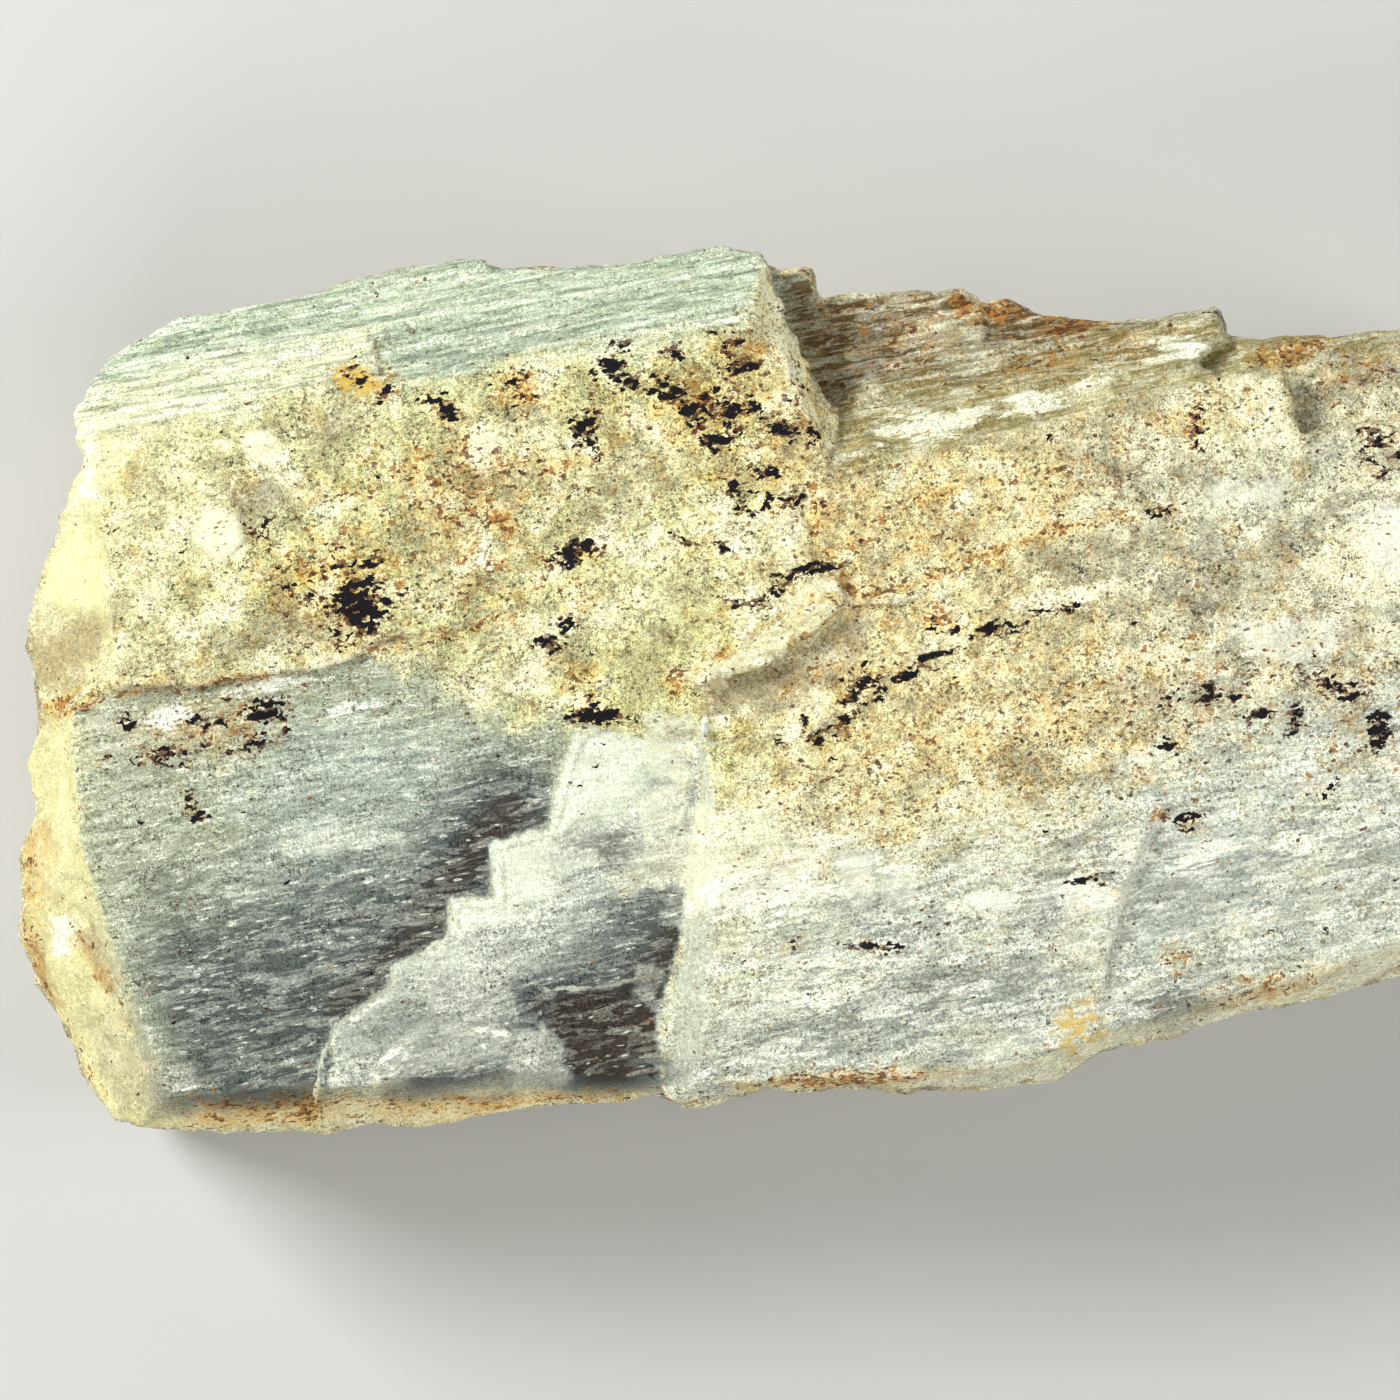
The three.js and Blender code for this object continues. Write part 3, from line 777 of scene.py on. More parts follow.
@dataclass(frozen=True)
class PatchWork:
    """Chips and facets that look unlike the skin around them, given one by one as seen from above."""

    patches: tuple[Patch, ...] = (
        Patch(
            (
                (-82, -3), (-74.2, -3), (-74.4, -20), (-73.2, -25), (-71.8, -30), (-70.4, -36), (-69.4, -41),
                (-73, -44), (-80, -36),
            ),
            (0.74, 0.71, 0.37), 0.9, 2.8, 0.7, 0.8, 1.5,
        ),
        Patch(
            ((-58, -2), (-36, -4), (-35, -13), (-44, -25), (-58, -28)),
            (0.36, 0.43, 0.37), 0.6, 5.0, 1.0, 0.0, 1.5,
        ),
        Patch(
            ((-74, -2.2), (-66, -0.8), (-57, 0.4), (-54.4, -2.6), (-58, -6.6), (-68, -7.2), (-74.4, -6)),
            (0.48, 0.45, 0.28), 0.7, 2.0, 1.0, 0.6, 1.6,
        ),
        Patch(
            ((-75, 27), (-66, 29.4), (-60, 23), (-62, 12), (-66, 6), (-73, 6.4)),
            (0.82, 0.81, 0.47), 0.4, 3.5, 0.7, 0.0, 2.0,
        ),
        Patch(
            ((-76.8, 16.3), (-74, 17.1), (-73.3, 13.4), (-72.7, 10.5), (-72.5, 7.6), (-76, 8.1), (-80, 9.1)),
            (0.82, 0.80, 0.43), 1.0, 0.7, 0.4,
        ),
        Patch(
            ((-82, 6.6), (-77, 7.9), (-72.5, 7.3), (-71.8, 3.6), (-73.5, 2.6), (-75, 0.1), (-82, 0.1)),
            (0.46, 0.39, 0.20), 0.85, 1.2,
        ),
        Patch(
            (
                (-73.7, 2.3), (-72, 3.1), (-70.2, 4.1), (-68, 4.3), (-67, 2.6), (-67.2, 0.1), (-70.5, 0.1),
                (-73.5, 0.6),
            ),
            (0.76, 0.71, 0.40), 0.9, 0.4,
        ),
        Patch(((-83, -13.4), (-78, -12.9), (-77.5, -17.2), (-78, -18.9), (-83, -18.9)), (0.66, 0.54, 0.24)),
        Patch(((-83, -19.6), (-78.4, -19.6), (-78, -21), (-83, -21)), (0.66, 0.54, 0.25), 0.8),
        Patch(((-83, -24.6), (-79.4, -24.6), (-77.6, -31.9), (-79, -33), (-83, -30)), (0.47, 0.34, 0.15)),
        Patch(
            ((-75.5, -23.9), (-73.5, -23.4), (-72.5, -26.9), (-71, -29.4), (-71.8, -30.9), (-74, -27.4)),
            (0.50, 0.42, 0.23), 0.8,
        ),
        Patch(
            ((-73.6, -32), (-71, -33.9), (-69.4, -36.9), (-68, -41), (-71, -42.6), (-73.5, -38.4)),
            (0.52, 0.47, 0.28), 0.8, 1.2,
        ),
        Patch(
            (
                (-55.9, -15.9), (-53, -14.1), (-49, -13.5), (-42.5, -14.1), (-42.2, -15.4), (-47, -15.9),
                (-53, -16.7),
            ),
            (0.64, 0.69, 0.55), 0.9, 0.35, 0.8, 0.9,
        ),
        Patch(
            ((-18.4, -2.4), (-13.2, -2.6), (-13.2, -8.6), (-15.4, -9.2), (-17.8, -7.6)),
            (0.72, 0.73, 0.53), 0.9, 0.4, 0.6, 0.9,
        ),
        Patch(
            ((-18.4, -15.2), (-14.5, -13.6), (-13.4, -9.0), (-16.5, -9.6), (-19.4, -12.4)),
            (0.74, 0.75, 0.55), 0.9, 0.4, 0.6, 0.9,
        ),
        Patch(
            (
                (-21.8, -18.3), (-19.9, -17.6), (-18.6, -16.1), (-17.1, -14.7), (-14.5, -13.8),
                (-13.8, -15.0), (-14.1, -18.1), (-14.7, -19.4), (-21.6, -20.7),
            ),
            (0.60, 0.60, 0.43), 0.95, 0.3, 0.7, 0.9,
        ),
        Patch(
            (
                (-26.3, -14.7), (-23.1, -14.5), (-19.7, -14.7), (-18.6, -15.5), (-18.8, -16.5),
                (-19.9, -17.4), (-21.8, -18.1), (-23.5, -17.8), (-26.3, -17.6),
            ),
            (0.24, 0.25, 0.20), 0.95, 0.3, 0.9, 0.8,
        ),
        Patch(
            ((-27.4, -15.6), (-23.4, -15.8), (-22.8, -17.4), (-27.4, -18.2)),
            (0.72, 0.76, 0.60), 0.9, 0.3, 0.6, 0.9,
        ),
        Patch(
            ((-19.2, -27.6), (-17.2, -27), (-16.9, -31.8), (-18.4, -32.2), (-19.3, -30.4)),
            (0.36, 0.35, 0.27), 0.9, 0.3, 0.8, 0.75,
        ),
        Patch(
            (
                (-12.8, -2.2), (-11, 0.5), (-7, 2.3), (-3, 5.1), (1, 7.6), (4.4, 7.2), (3.6, 3.4), (0.4, 0.4),
                (-3.6, -1.8), (-9.6, -3.6),
            ),
            (0.45, 0.40, 0.25), 0.8, 0.8, 0.7,
        ),
        Patch(
            ((33, 26.4), (37, 30.6), (41, 32), (45.4, 31), (46.8, 25), (42, 24), (36, 24)),
            (0.86, 0.80, 0.46), 0.85,
        ),
        Patch(
            ((-14, 0.1), (-9, 4.1), (-4, 7.1), (-3, 10.1), (0.8, 11.8), (1.6, 9.1), (0.5, 7.1), (-7, 2.3)),
            (0.89, 0.82, 0.46), 1.0, 0.4, 0.6,
        ),
        Patch(
            ((-52, -40.4), (-46, -41), (-36, -41), (-28, -40.2), (-18, -39.6), (-15, -44), (-53, -46)),
            (0.86, 0.75, 0.42), 0.8, 0.9, 1.0, 0.0, 0.9,
        ),
        Patch(
            ((-65, -42.6), (-60, -42), (-56, -42.4), (-52, -41.4), (-51, -46), (-66, -46)),
            (0.88, 0.77, 0.39), 0.8, 0.9, 1.0, 0.0, 0.9,
        ),
        Patch(
            (
                (-39.5, -32.3), (-36.3, -32.6), (-33, -33.8), (-31.2, -33.6), (-30.8, -31.6), (-32, -29.6),
                (-34.4, -28.6), (-38, -27.9), (-40, -26.9),
            ),
            (0.50, 0.52, 0.42), 0.75, 0.6, 0.9, 0.5, 0.6,
        ),
        Patch(
            (
                (-45.6, -35.9), (-43, -33.9), (-39, -32.9), (-33, -33.7), (-31.4, -34.9), (-32.5, -36.4),
                (-36, -37.4), (-43, -38.1),
            ),
            (0.45, 0.48, 0.38), 0.85, 0.35, 0.6, 0.5,
        ),
        Patch(
            (
                (-32, -34.4), (-28.4, -34), (-26.2, -35.2), (-26.8, -36.8), (-25.4, -38.2), (-26.4, -39.6),
                (-31.8, -39.6),
            ),
            (0.48, 0.50, 0.40), 0.85, 0.5, 0.8, 0.75, 0.5,
        ),
        Patch(
            ((-46, -41), (-44, -38.6), (-38, -38.4), (-32, -37.4), (-31, -41)), (0.34, 0.33, 0.25), 0.8, 0.6
        ),
        Patch(
            ((1.2, -16.6), (4.4, -16), (5, -19), (4, -21.4), (1, -20.4)), (0.88, 0.90, 0.72), 0.9, 0.6, 0.4
        ),
        Patch(((5.5, -18.4), (8.8, -18), (8.6, -21.4), (5.8, -21.4)), (0.88, 0.90, 0.72), 0.9, 0.4, 0.4),
        Patch(
            ((13.3, -20.9), (16, -20), (18.8, -20.6), (17, -21.7), (14.6, -21.8)),
            (0.88, 0.90, 0.72), 0.9, 0.3, 0.4,
        ),
        Patch(
            ((-14, -12), (-4, -13), (2, -19), (-3, -22.4), (-16, -22.4)),
            (0.82, 0.82, 0.57), 0.75, 2.0, 0.6, 0.6, 1.2,
        ),
        Patch(
            ((22, -14.4), (29, -13.6), (29.6, -16), (28.4, -19.4), (23, -19)), (0.42, 0.41, 0.32), 0.6, 1.4
        ),
        Patch(
            ((22.6, -20), (29.4, -19.6), (28, -24), (26.8, -28), (23, -26)),
            (0.80, 0.80, 0.60), 0.75, 0.6, 0.6, 0.7,
        ),
        Patch(
            ((31.8, -13.4), (40, -12), (43, -16), (42, -22), (34, -25), (29, -25)),
            (0.58, 0.63, 0.53), 0.7, 0.8, 0.6,
        ),
        Patch(
            (
                (53.4, 16.4), (55.4, 18.2), (58, 17.4), (61, 18.4), (61, 10), (57.4, 11), (55, 10.2),
                (53.6, 12.2),
            ),
            (0.95, 0.96, 0.84), 0.95, 1.5, 0.35, 0.0, 1.6,
        ),
        Patch(((39, 6.4), (47, 7.6), (52, 6.6), (50, 3.4), (43, 3)), (0.86, 0.87, 0.70), 0.8, 0.6, 0.4),
        Patch(((38, 20.6), (46, 21), (45, 18.6), (39, 18.4)), (0.84, 0.86, 0.68), 0.8, 0.6, 0.4),
        Patch(
            ((-63, 17.2), (-60.6, 18), (-58.4, 17), (-57.8, 14.4), (-60, 13), (-62.8, 13.8)),
            (0.95, 0.93, 0.64), 1.0, 0.5, 0.2,
        ),
        Patch(
            ((-58.4, 25.2), (-55.4, 26), (-54, 24.4), (-56, 22.6), (-58.6, 23)),
            (0.93, 0.91, 0.64), 0.9, 0.4, 0.3,
        ),
        Patch(
            ((-35.6, 26), (-33.2, 25.6), (-32.8, 22), (-34.4, 21), (-35.8, 23)),
            (0.93, 0.92, 0.66), 0.9, 0.5, 0.3,
        ),
        Patch(((-76, 28), (-73.6, 27), (-70, 24), (-71, 20), (-76, 18)), (0.88, 0.84, 0.46), 0.8, 1.2, 0.5),
    )

    def laid(self, points: np.ndarray, tint: np.ndarray, values: dict[Layer, np.ndarray]) -> np.ndarray:
        """Lays the patches over the colours, and takes their grit and deep tone away.

        Args:
            points: One row per point of the mesh.
            tint: One row of red, green and blue per point.
            values: What is stored for the finish, changed in place.

        Returns:
            The colours with the patches.
        """
        wander = 0.7 * LatticeNoise(75).at(points / 2.0) + 0.4 * LatticeNoise(76).at(points / 0.8)
        bends = LatticeNoise(77).at(points / 5.0)
        upper = ease(points[:, 2], 20.0, 24.0)
        for patch in self.patches:
            cover = upper * patch.cover(points, wander, bends)
            tint = blended(tint, patch.colour, cover)
            values[Layer.GRIT] = values[Layer.GRIT] * (1.0 - (1.0 - patch.grit) * cover)
            values[Layer.GRAIN] = values[Layer.GRAIN] * (1.0 - (1.0 - patch.grit) * cover)
            values[Layer.DEEP] = values[Layer.DEEP] * (1.0 - patch.clear * cover)
        return tint


@dataclass(frozen=True)
class Stains:
    """The stains of the real crystal, given one by one as seen from above."""

    black: tuple[Stain, ...] = (
        Blot(-47.2, 8.4, 4.6, 5.4, 1.3, 0),
        Blot(-48.6, 12.0, 5.0, 1.6, 0.8, 120),
        Blot(-45.6, 12.0, 4.0, 1.4, 0.75, 60),
        Blot(-43.4, 9.2, 4.6, 1.8, 0.75),
        Blot(-52.0, 11.4, 7.0, 5.0, 0.52),
        Blot(-46.4, 31.2, 3.4, 1.8, 0.8, -20),
        Blot(-44.6, 29.4, 2.4, 1.4, 0.85, 20),
        Blot(-38.2, 28.2, 2.6, 1.5, 0.9, -30),
        Blot(-40.6, 30.0, 3.0, 1.0, 0.65, -30),
        Blot(-31.2, 30.4, 2.6, 3.4, 0.62),
        Blot(-21.6, 32.2, 2.8, 2.0, 1.0, -30),
        Blot(-19.8, 30.6, 3.4, 1.6, 0.95, -50),
        Blot(-20.0, 34.0, 2.4, 1.6, 0.8),
        Blot(-15.4, 33.2, 2.2, 1.8, 0.95),
        Blot(-16.4, 29.6, 3.4, 2.6, 0.8),
        Blot(-12.6, 28.0, 5.4, 2.8, 0.92, -10),
        Blot(-10.8, 25.0, 3.4, 2.0, 1.0, 20),
        Blot(-8.8, 28.4, 5.0, 1.6, 0.95, 8),
        Blot(-9.6, 32.4, 3.4, 2.6, 0.85, 40),
        Blot(-9.9, 35.0, 1.4, 2.8, 0.9, 80),
        Blot(-4.0, 26.4, 4.8, 2.0, 0.92, -10),
        Blot(-3.0, 29.6, 3.0, 2.0, 0.6),
        Blot(-24.3, 25.8, 4.4, 3.4, 0.95, -40),
        Blot(-28.4, 22.2, 4.0, 1.8, 0.65),
        Blot(-6.8, 21.6, 4.2, 1.8, 0.95, -20),
        Blot(-9.4, 19.8, 3.0, 1.6, 0.95, -20),
        Blot(-5.4, 18.4, 6.8, 1.6, 0.88, 5),
        Blot(-25.0, 13.5, 4.4, 1.6, 1.15),
        Blot(-14.4, 14.8, 2.6, 1.2, 0.9, -35),
        Blot(-10.6, 14.3, 2.2, 1.2, 0.9, -30),
        Blot(-25.8, 6.9, 2.6, 1.0, 0.9),
        Blot(-27.2, 4.3, 2.8, 1.5, 1.1, -15),
        Blot(-23.0, -2.6, 5.4, 1.6, 1.0, 0),
        Blot(-23.8, -0.6, 1.2, 3.0, 0.75, 0),
        Blot(-55.9, 16.4, 1.8, 0.7, 0.95, 60),
        Blot(-57.4, 15.4, 3.0, 0.9, 0.8, -50),
        Blot(-56.2, -2.0, 4.4, 3.0, 0.95),
        Blot(-60.4, -3.0, 6.0, 3.0, 0.6),
        Blot(-66.4, -6.6, 5.4, 1.7, 0.9),
        Blot(-69.8, -3.6, 1.6, 2.4, 0.85),
        Blot(-57.8, -5.6, 4.6, 1.6, 0.8, 15),
        Blot(-63.4, -11.6, 3.2, 1.6, 0.95, -55),
        Vein(((-6.4, 8.6), (-5, 10.6), (-2.6, 12), (-0.8, 12.5), (0.7, 11.7)), 1.1, 0.95),
        Blot(-9.2, 8.3, 3.6, 1.2, 0.75),
        Blot(-6.6, 8.3, 3.0, 1.2, 0.95),
        Blot(-5.0, -4.9, 1.0, 0.8, 0.9),
        Blot(-2.2, -4.3, 3.2, 1.2, 0.92, -65),
        Blot(-0.6, -5.2, 2.2, 0.8, 0.85, -40),
        Blot(0.9, -3.2, 4.6, 1.3, 1.0, 25),
        Blot(3.0, 0.0, 4.6, 2.8, 1.05, 50),
        Blot(7.0, 1.6, 4.8, 1.0, 0.9, 5),
        Blot(9.4, 3.4, 2.6, 0.9, 0.88),
        Blot(12.2, 3.8, 2.6, 0.8, 0.85),
        Blot(12.0, 1.1, 2.6, 0.7, 0.8),
        Blot(10.7, 6.0, 1.6, 1.2, 0.95),
        Blot(12.8, 6.2, 1.8, 1.2, 1.15),
        Blot(16.0, 6.1, 3.8, 1.2, 1.0, 15),
        Blot(20.0, 7.3, 2.4, 1.3, 1.02, 30),
        Blot(22.8, 8.2, 4.6, 1.0, 0.9, 8),
        Blot(-12.4, 0.6, 1.2, 3.2, 0.75, 0),
        Blot(33.5, 18.1, 3.0, 1.2, 0.95),
        Blot(36.8, 26.2, 1.2, 3.4, 0.85, 0),
        Blot(55.2, 24.4, 4.6, 5.0, 0.72),
        Blot(48.6, 1.2, 3.6, 3.0, 0.65),
        Blot(51.0, 0.0, 4.6, 1.6, 0.75, -10),
        Blot(54.8, -4.4, 2.4, 4.4, 0.8, 0),
        Blot(46.8, -3.1, 1.8, 3.0, 0.85, 0),
        Blot(43.0, -2.4, 3.6, 1.2, 0.75),
        Blot(37.0, -0.6, 8.0, 2.2, 0.66),
        Blot(34.0, -5.6, 3.4, 1.2, 0.8, -30),
        Blot(36.0, -13.0, 2.4, 1.4, 0.9),
        Blot(50.2, -9.8, 2.4, 1.0, 0.8, 50),
        Blot(4.0, -25.6, 5.6, 1.3, 0.8, -6),
        Blot(-3.6, -25.4, 2.8, 1.2, 0.65),
        Blot(26.2, -18.8, 3.2, 1.2, 0.75),
    )
    rust: tuple[Stain, ...] = (
        Blot(-47.4, 10.4, 12.0, 11.0, 0.72, 0),
        Blot(-53.0, 11.4, 8.0, 6.0, 0.7),
        Blot(-40.5, 23.3, 4.4, 2.2, 0.9, 30),
        Blot(-37.0, 20.0, 18.0, 10.0, 0.68),
        Blot(-33.0, 12.0, 14.0, 8.0, 0.5),
        Blot(-30.8, 29.8, 3.6, 4.6, 1.0, 0),
        Blot(-32.6, 16.6, 3.4, 2.4, 1.1, -30),
        Blot(-27.0, 22.4, 5.0, 2.0, 0.8),
        Blot(-13.6, 28.4, 8.0, 5.0, 1.0, -20),
        Blot(-9.0, 27.0, 20.0, 13.0, 0.55),
        Blot(-8.6, 33.6, 5.0, 4.0, 0.8),
        Blot(-44.0, 31.0, 5.0, 2.6, 0.55),
        Blot(-15.5, 0.6, 2.6, 2.4, 1.0),
        Blot(-24.6, 1.6, 4.6, 3.4, 0.75),
        Blot(-24.6, 9.4, 4.0, 6.0, 0.5),
        Vein(
            ((-80, -3.4), (-77.6, -1.8), (-73, -0.6), (-67, 0), (-62.4, 0.6), (-56.3, 1.5)), 1.0, 0.9
        ),
        Blot(-75.6, -1.4, 5.6, 1.5, 1.7, 16),
        Vein(((-48, 3.6), (-41, 4.8), (-36, 6.0), (-32, 7.4)), 1.3, 0.6),
        Blot(-61.0, -4.0, 15.0, 5.0, 0.62),
        Vein(((-1.8, 21), (-1.4, 17), (-1, 14.4), (1, 12.4), (2.4, 9.6)), 1.0, 0.8),
        Vein(((2.4, 8.4), (6, 9.8), (10.4, 11.4), (15, 13.2), (21.5, 15.6), (29, 17.6)), 1.3, 0.75),
        Vein(((-15, 1.0), (-8, 5.2), (-1, 9.2), (2.4, 9.0)), 1.1, 0.65),
        Blot(3.4, 9.0, 4.6, 3.4, 0.9),
        Blot(10.9, 7.2, 2.4, 2.0, 1.4),
        Blot(23.2, 16.2, 3.0, 1.8, 1.0),
        Blot(36.1, -13.2, 2.6, 1.6, 0.9),
        Blot(33.0, -12.4, 1.6, 1.6, 0.9),
        Blot(13.6, 39.2, 2.8, 2.8, 1.2),
        Blot(17.4, 38.4, 5.0, 2.6, 1.5),
        Blot(24.6, 37.0, 9.0, 2.4, 1.1),
        Blot(46.0, 33.8, 7.0, 2.4, 1.1),
        Blot(52.0, 32.0, 10.0, 5.0, 0.6),
        Blot(43.8, -29.9, 12.0, 3.4, 0.7),
        Blot(35.0, -27.0, 3.0, 2.4, 0.9, -40),
        Blot(6.0, 35.6, 16.0, 8.0, 0.6),
        Blot(24.0, 33.4, 16.0, 3.4, 0.6),
        Blot(35.0, 27.4, 14.0, 3.0, 0.55),
        Blot(36.6, 26.4, 2.4, 4.0, 0.9, 0),
        Blot(-57.5, -42.2, 12.0, 3.2, 0.8, 0),
        Blot(-52.4, -42.2, 2.6, 3.0, 1.2, 0),
        Blot(-30.0, -41.5, 34.0, 2.2, 0.75, 0),
        Blot(1.0, -39.0, 15.0, 1.6, 1.3, 4),
        Vein(((-80.5, -12), (-81, -18), (-80.6, -25), (-80, -30), (-77, -35), (-74, -41)), 2.0, 0.65),
        Blot(-73.6, -27.4, 9.0, 1.2, 0.7, 120),
        Blot(8.0, 17.0, 22.0, 12.0, 0.5),
        Blot(20.0, 20.0, 20.0, 8.0, 0.5),
        Blot(0.0, 2.4, 13.0, 5.0, 0.5, 25),
        Blot(26.0, -2.0, 36.0, 16.0, 0.46),
        Blot(5.0, -7.0, 22.0, 12.0, 0.42),
        Blot(10.2, -5.0, 2.2, 1.4, 0.9),
        Blot(52.0, -2.0, 10.0, 12.0, 0.5, 0),
    )
    gold: tuple[Stain, ...] = (
        Blot(-47.0, 30.9, 5.0, 3.0, 1.2, -20),
        Blot(24.8, -33.6, 5.6, 6.0, 0.9, 0),
        Blot(-28.0, -42.0, 40.0, 3.0, 0.6, 0),
        Blot(-79.6, -24.0, 16.0, 3.0, 0.5, 90),
        Blot(-70.0, 20.0, 14.0, 6.0, 0.5, 60),
    )
    chalk: tuple[Stain, ...] = (
        Blot(-65.5, -3.0, 5.0, 2.6, 0.9, 20),
        Blot(-74.0, 22.0, 4.0, 10.0, 0.6, -10),
        Blot(43.5, 0.4, 4.4, 2.6, 1.0),
        Blot(56.0, 14.2, 9.0, 8.0, 1.3),
        Blot(52.4, 17.6, 5.0, 2.0, 0.9),
        Blot(52.0, 11.0, 6.0, 2.0, 0.95),
        Blot(56.5, 20.4, 6.0, 2.0, 0.8),
        Blot(43.0, 4.0, 5.0, 2.4, 0.8),
        Blot(10.8, 26.6, 11.0, 3.2, 0.98, 14),
        Blot(20.7, 28.6, 7.0, 2.2, 0.88),
        Blot(25.7, 30.4, 4.2, 1.3, 0.8),
        Blot(35.4, 34.0, 6.0, 2.6, 0.88),
        Blot(44.6, 28.0, 2.2, 6.6, 0.95, 10),
        Blot(42.0, 25.0, 6.0, 3.0, 0.7),
        Blot(24.3, 9.3, 10.0, 1.8, 1.0),
        Blot(-9.6, 8.8, 3.0, 2.0, 0.6),
        Blot(-4.0, 9.6, 12.0, 3.0, 0.7, 38),
        Blot(-11.4, -3.4, 2.6, 1.4, 1.0),
        Blot(-54.0, 1.0, 12.0, 1.4, 0.7, 8),
        Blot(-47.0, -1.8, 6.0, 2.0, 0.75),
        Blot(-9.0, -13.0, 7.0, 6.0, 0.7),
        Blot(-6.0, -19.6, 14.0, 6.0, 0.85),
        Blot(0.0, -29.0, 18.0, 7.0, 0.62),
        Blot(15.6, -21.6, 9.0, 4.0, 0.7),
        Blot(48.0, -14.0, 12.0, 5.0, 0.62),
        Blot(38.0, -15.6, 6.0, 5.0, 0.6),
        Blot(-77.0, -24.6, 4.0, 2.4, 1.0, 60),
        Vein(
            (
                (-45.1, -41), (-45.4, -38), (-43.5, -36.1), (-40.8, -34.4), (-38.2, -33.4), (-34.9, -33.8),
                (-31.9, -34.4),
            ),
            0.9, 0.62,
        ),
        Blot(25.6, -20.0, 5.0, 8.0, 0.8, 60),
        Blot(29.6, -15.6, 4.0, 6.0, 0.75, 60),
    )
    deep: tuple[Stain, ...] = (
        Blot(-36.0, 33.4, 18.0, 4.0, 0.42, 13),
        Vein(((-41, -39), (-36.2, -38.4), (-32.4, -37.2), (-31.4, -35.2)), 2.2, 0.85),
        Blot(-22.6, -16.4, 7.0, 3.2, 0.8),
        Blot(-16.6, -9.0, 4.0, 2.2, 0.6),
        Blot(-49.0, 0.6, 8.0, 2.0, 0.4),
        Blot(-41.0, -34.0, 15.0, 8.0, 0.7),
        Blot(-22.5, -38.4, 11.0, 3.4, 1.25, 0),
        Blot(-58.0, -40.6, 13.0, 3.0, 0.8, 0),
        Blot(10.0, -31.0, 34.0, 8.0, 0.5),
        Blot(3.0, -25.8, 8.0, 4.0, 0.5),
        Blot(40.0, -19.0, 30.0, 8.0, 0.35),
        Blot(34.0, -31.0, 9.0, 4.0, 0.7),
        Blot(27.4, -18.0, 5.0, 4.0, 0.55),
    )
    deep_fresh: tuple[Stain, ...] = (
        Fade(-60.0, -8.0, -76.0, 22.0, 0.95),
        Vein(((-32, -12), (-38, -20), (-43, -27), (-48, -32)), 9.0, 1.2),
    )
    deep_terrace: tuple[Stain, ...] = (
        Fade(-31.0, -15.5, -41.0, 26.0, 1.6),
        Blot(-24.0, -33.5, 10.0, 9.0, 1.7, 12),
        Blot(-19.8, -35.4, 6.0, 7.0, 1.9, 0),
        Blot(-27.0, -32.6, 18.0, 9.0, 1.0, 12),
        Blot(-28.6, -31.4, 9.0, 6.0, 1.2, 12),
    )
    clear_left: Vein = Vein(((-77, -4), (-76, -16), (-74, -25), (-71, -33), (-67, -42)), 6.0)
    speck: tuple[Stain, ...] = (
        Blot(27.7, -2.4, 42.0, 20.0, 1.05),
        Blot(8.0, -9.0, 22.0, 12.0, 0.95),
        Blot(14.0, 17.0, 44.0, 12.0, 0.9),
        Blot(-30.0, 16.0, 50.0, 26.0, 0.85),
        Blot(-50.0, 13.0, 14.0, 16.0, 1.05, 0),
        Blot(-8.0, 27.0, 18.0, 16.0, 1.05),
        Blot(-61.0, -3.6, 18.0, 6.0, 1.1),
        Blot(50.0, 0.0, 18.0, 20.0, 1.0),
        Blot(36.0, 25.0, 16.0, 8.0, 1.0),
        Blot(-68.0, 10.0, 20.0, 34.0, 0.55, 0),
        Blot(34.0, -29.0, 18.0, 5.0, 0.8),
    )

    def covers(self, points: np.ndarray, skins: Skins) -> dict[Layer, np.ndarray]:
        """Works out where the stains lie, with scattered rust on the sides.

        Args:
            points: One row per point of the mesh.
            skins: How much of each skin a point has.

        Returns:
            The strength of each kind of stain at each point.
        """
        sides = skins[Skin.WALL] + skins[Skin.BASE]
        upper = 1.0 - sides
        cloud = LatticeNoise(61).at(points / 11.0) + 0.6 * LatticeNoise(62).at(points / 4.0)
        scattered = ease(cloud, 0.15, 1.0)
        deep = strongest(self.deep, points) * (1.0 - skins[Skin.CRUST])
        lit = 1.0 - self.clear_left.cover(points)
        deep = np.maximum(deep, strongest(self.deep_fresh, points) * lit * skins[Skin.FRESH])
        deep = np.maximum(deep, strongest(self.deep_terrace, points) * skins[Skin.TERRACE])
        sugary = skins[Skin.CRUST] + 0.75 * skins[Skin.BLOCK]
        speck = np.maximum(strongest(self.speck, points), 0.4) * sugary
        black = upper * strongest(self.black, points)
        rust = upper * strongest(self.rust, points)
        return {
            Layer.BLACK: black,
            Layer.RUST: np.maximum(rust, 0.6 * black) + 0.8 * sides * scattered,
            Layer.GOLD: upper * strongest(self.gold, points),
            Layer.CHALK: upper * strongest(self.chalk, points),
            Layer.DEEP: upper * deep,
            Layer.SPECK: speck + 0.7 * sides,
        }


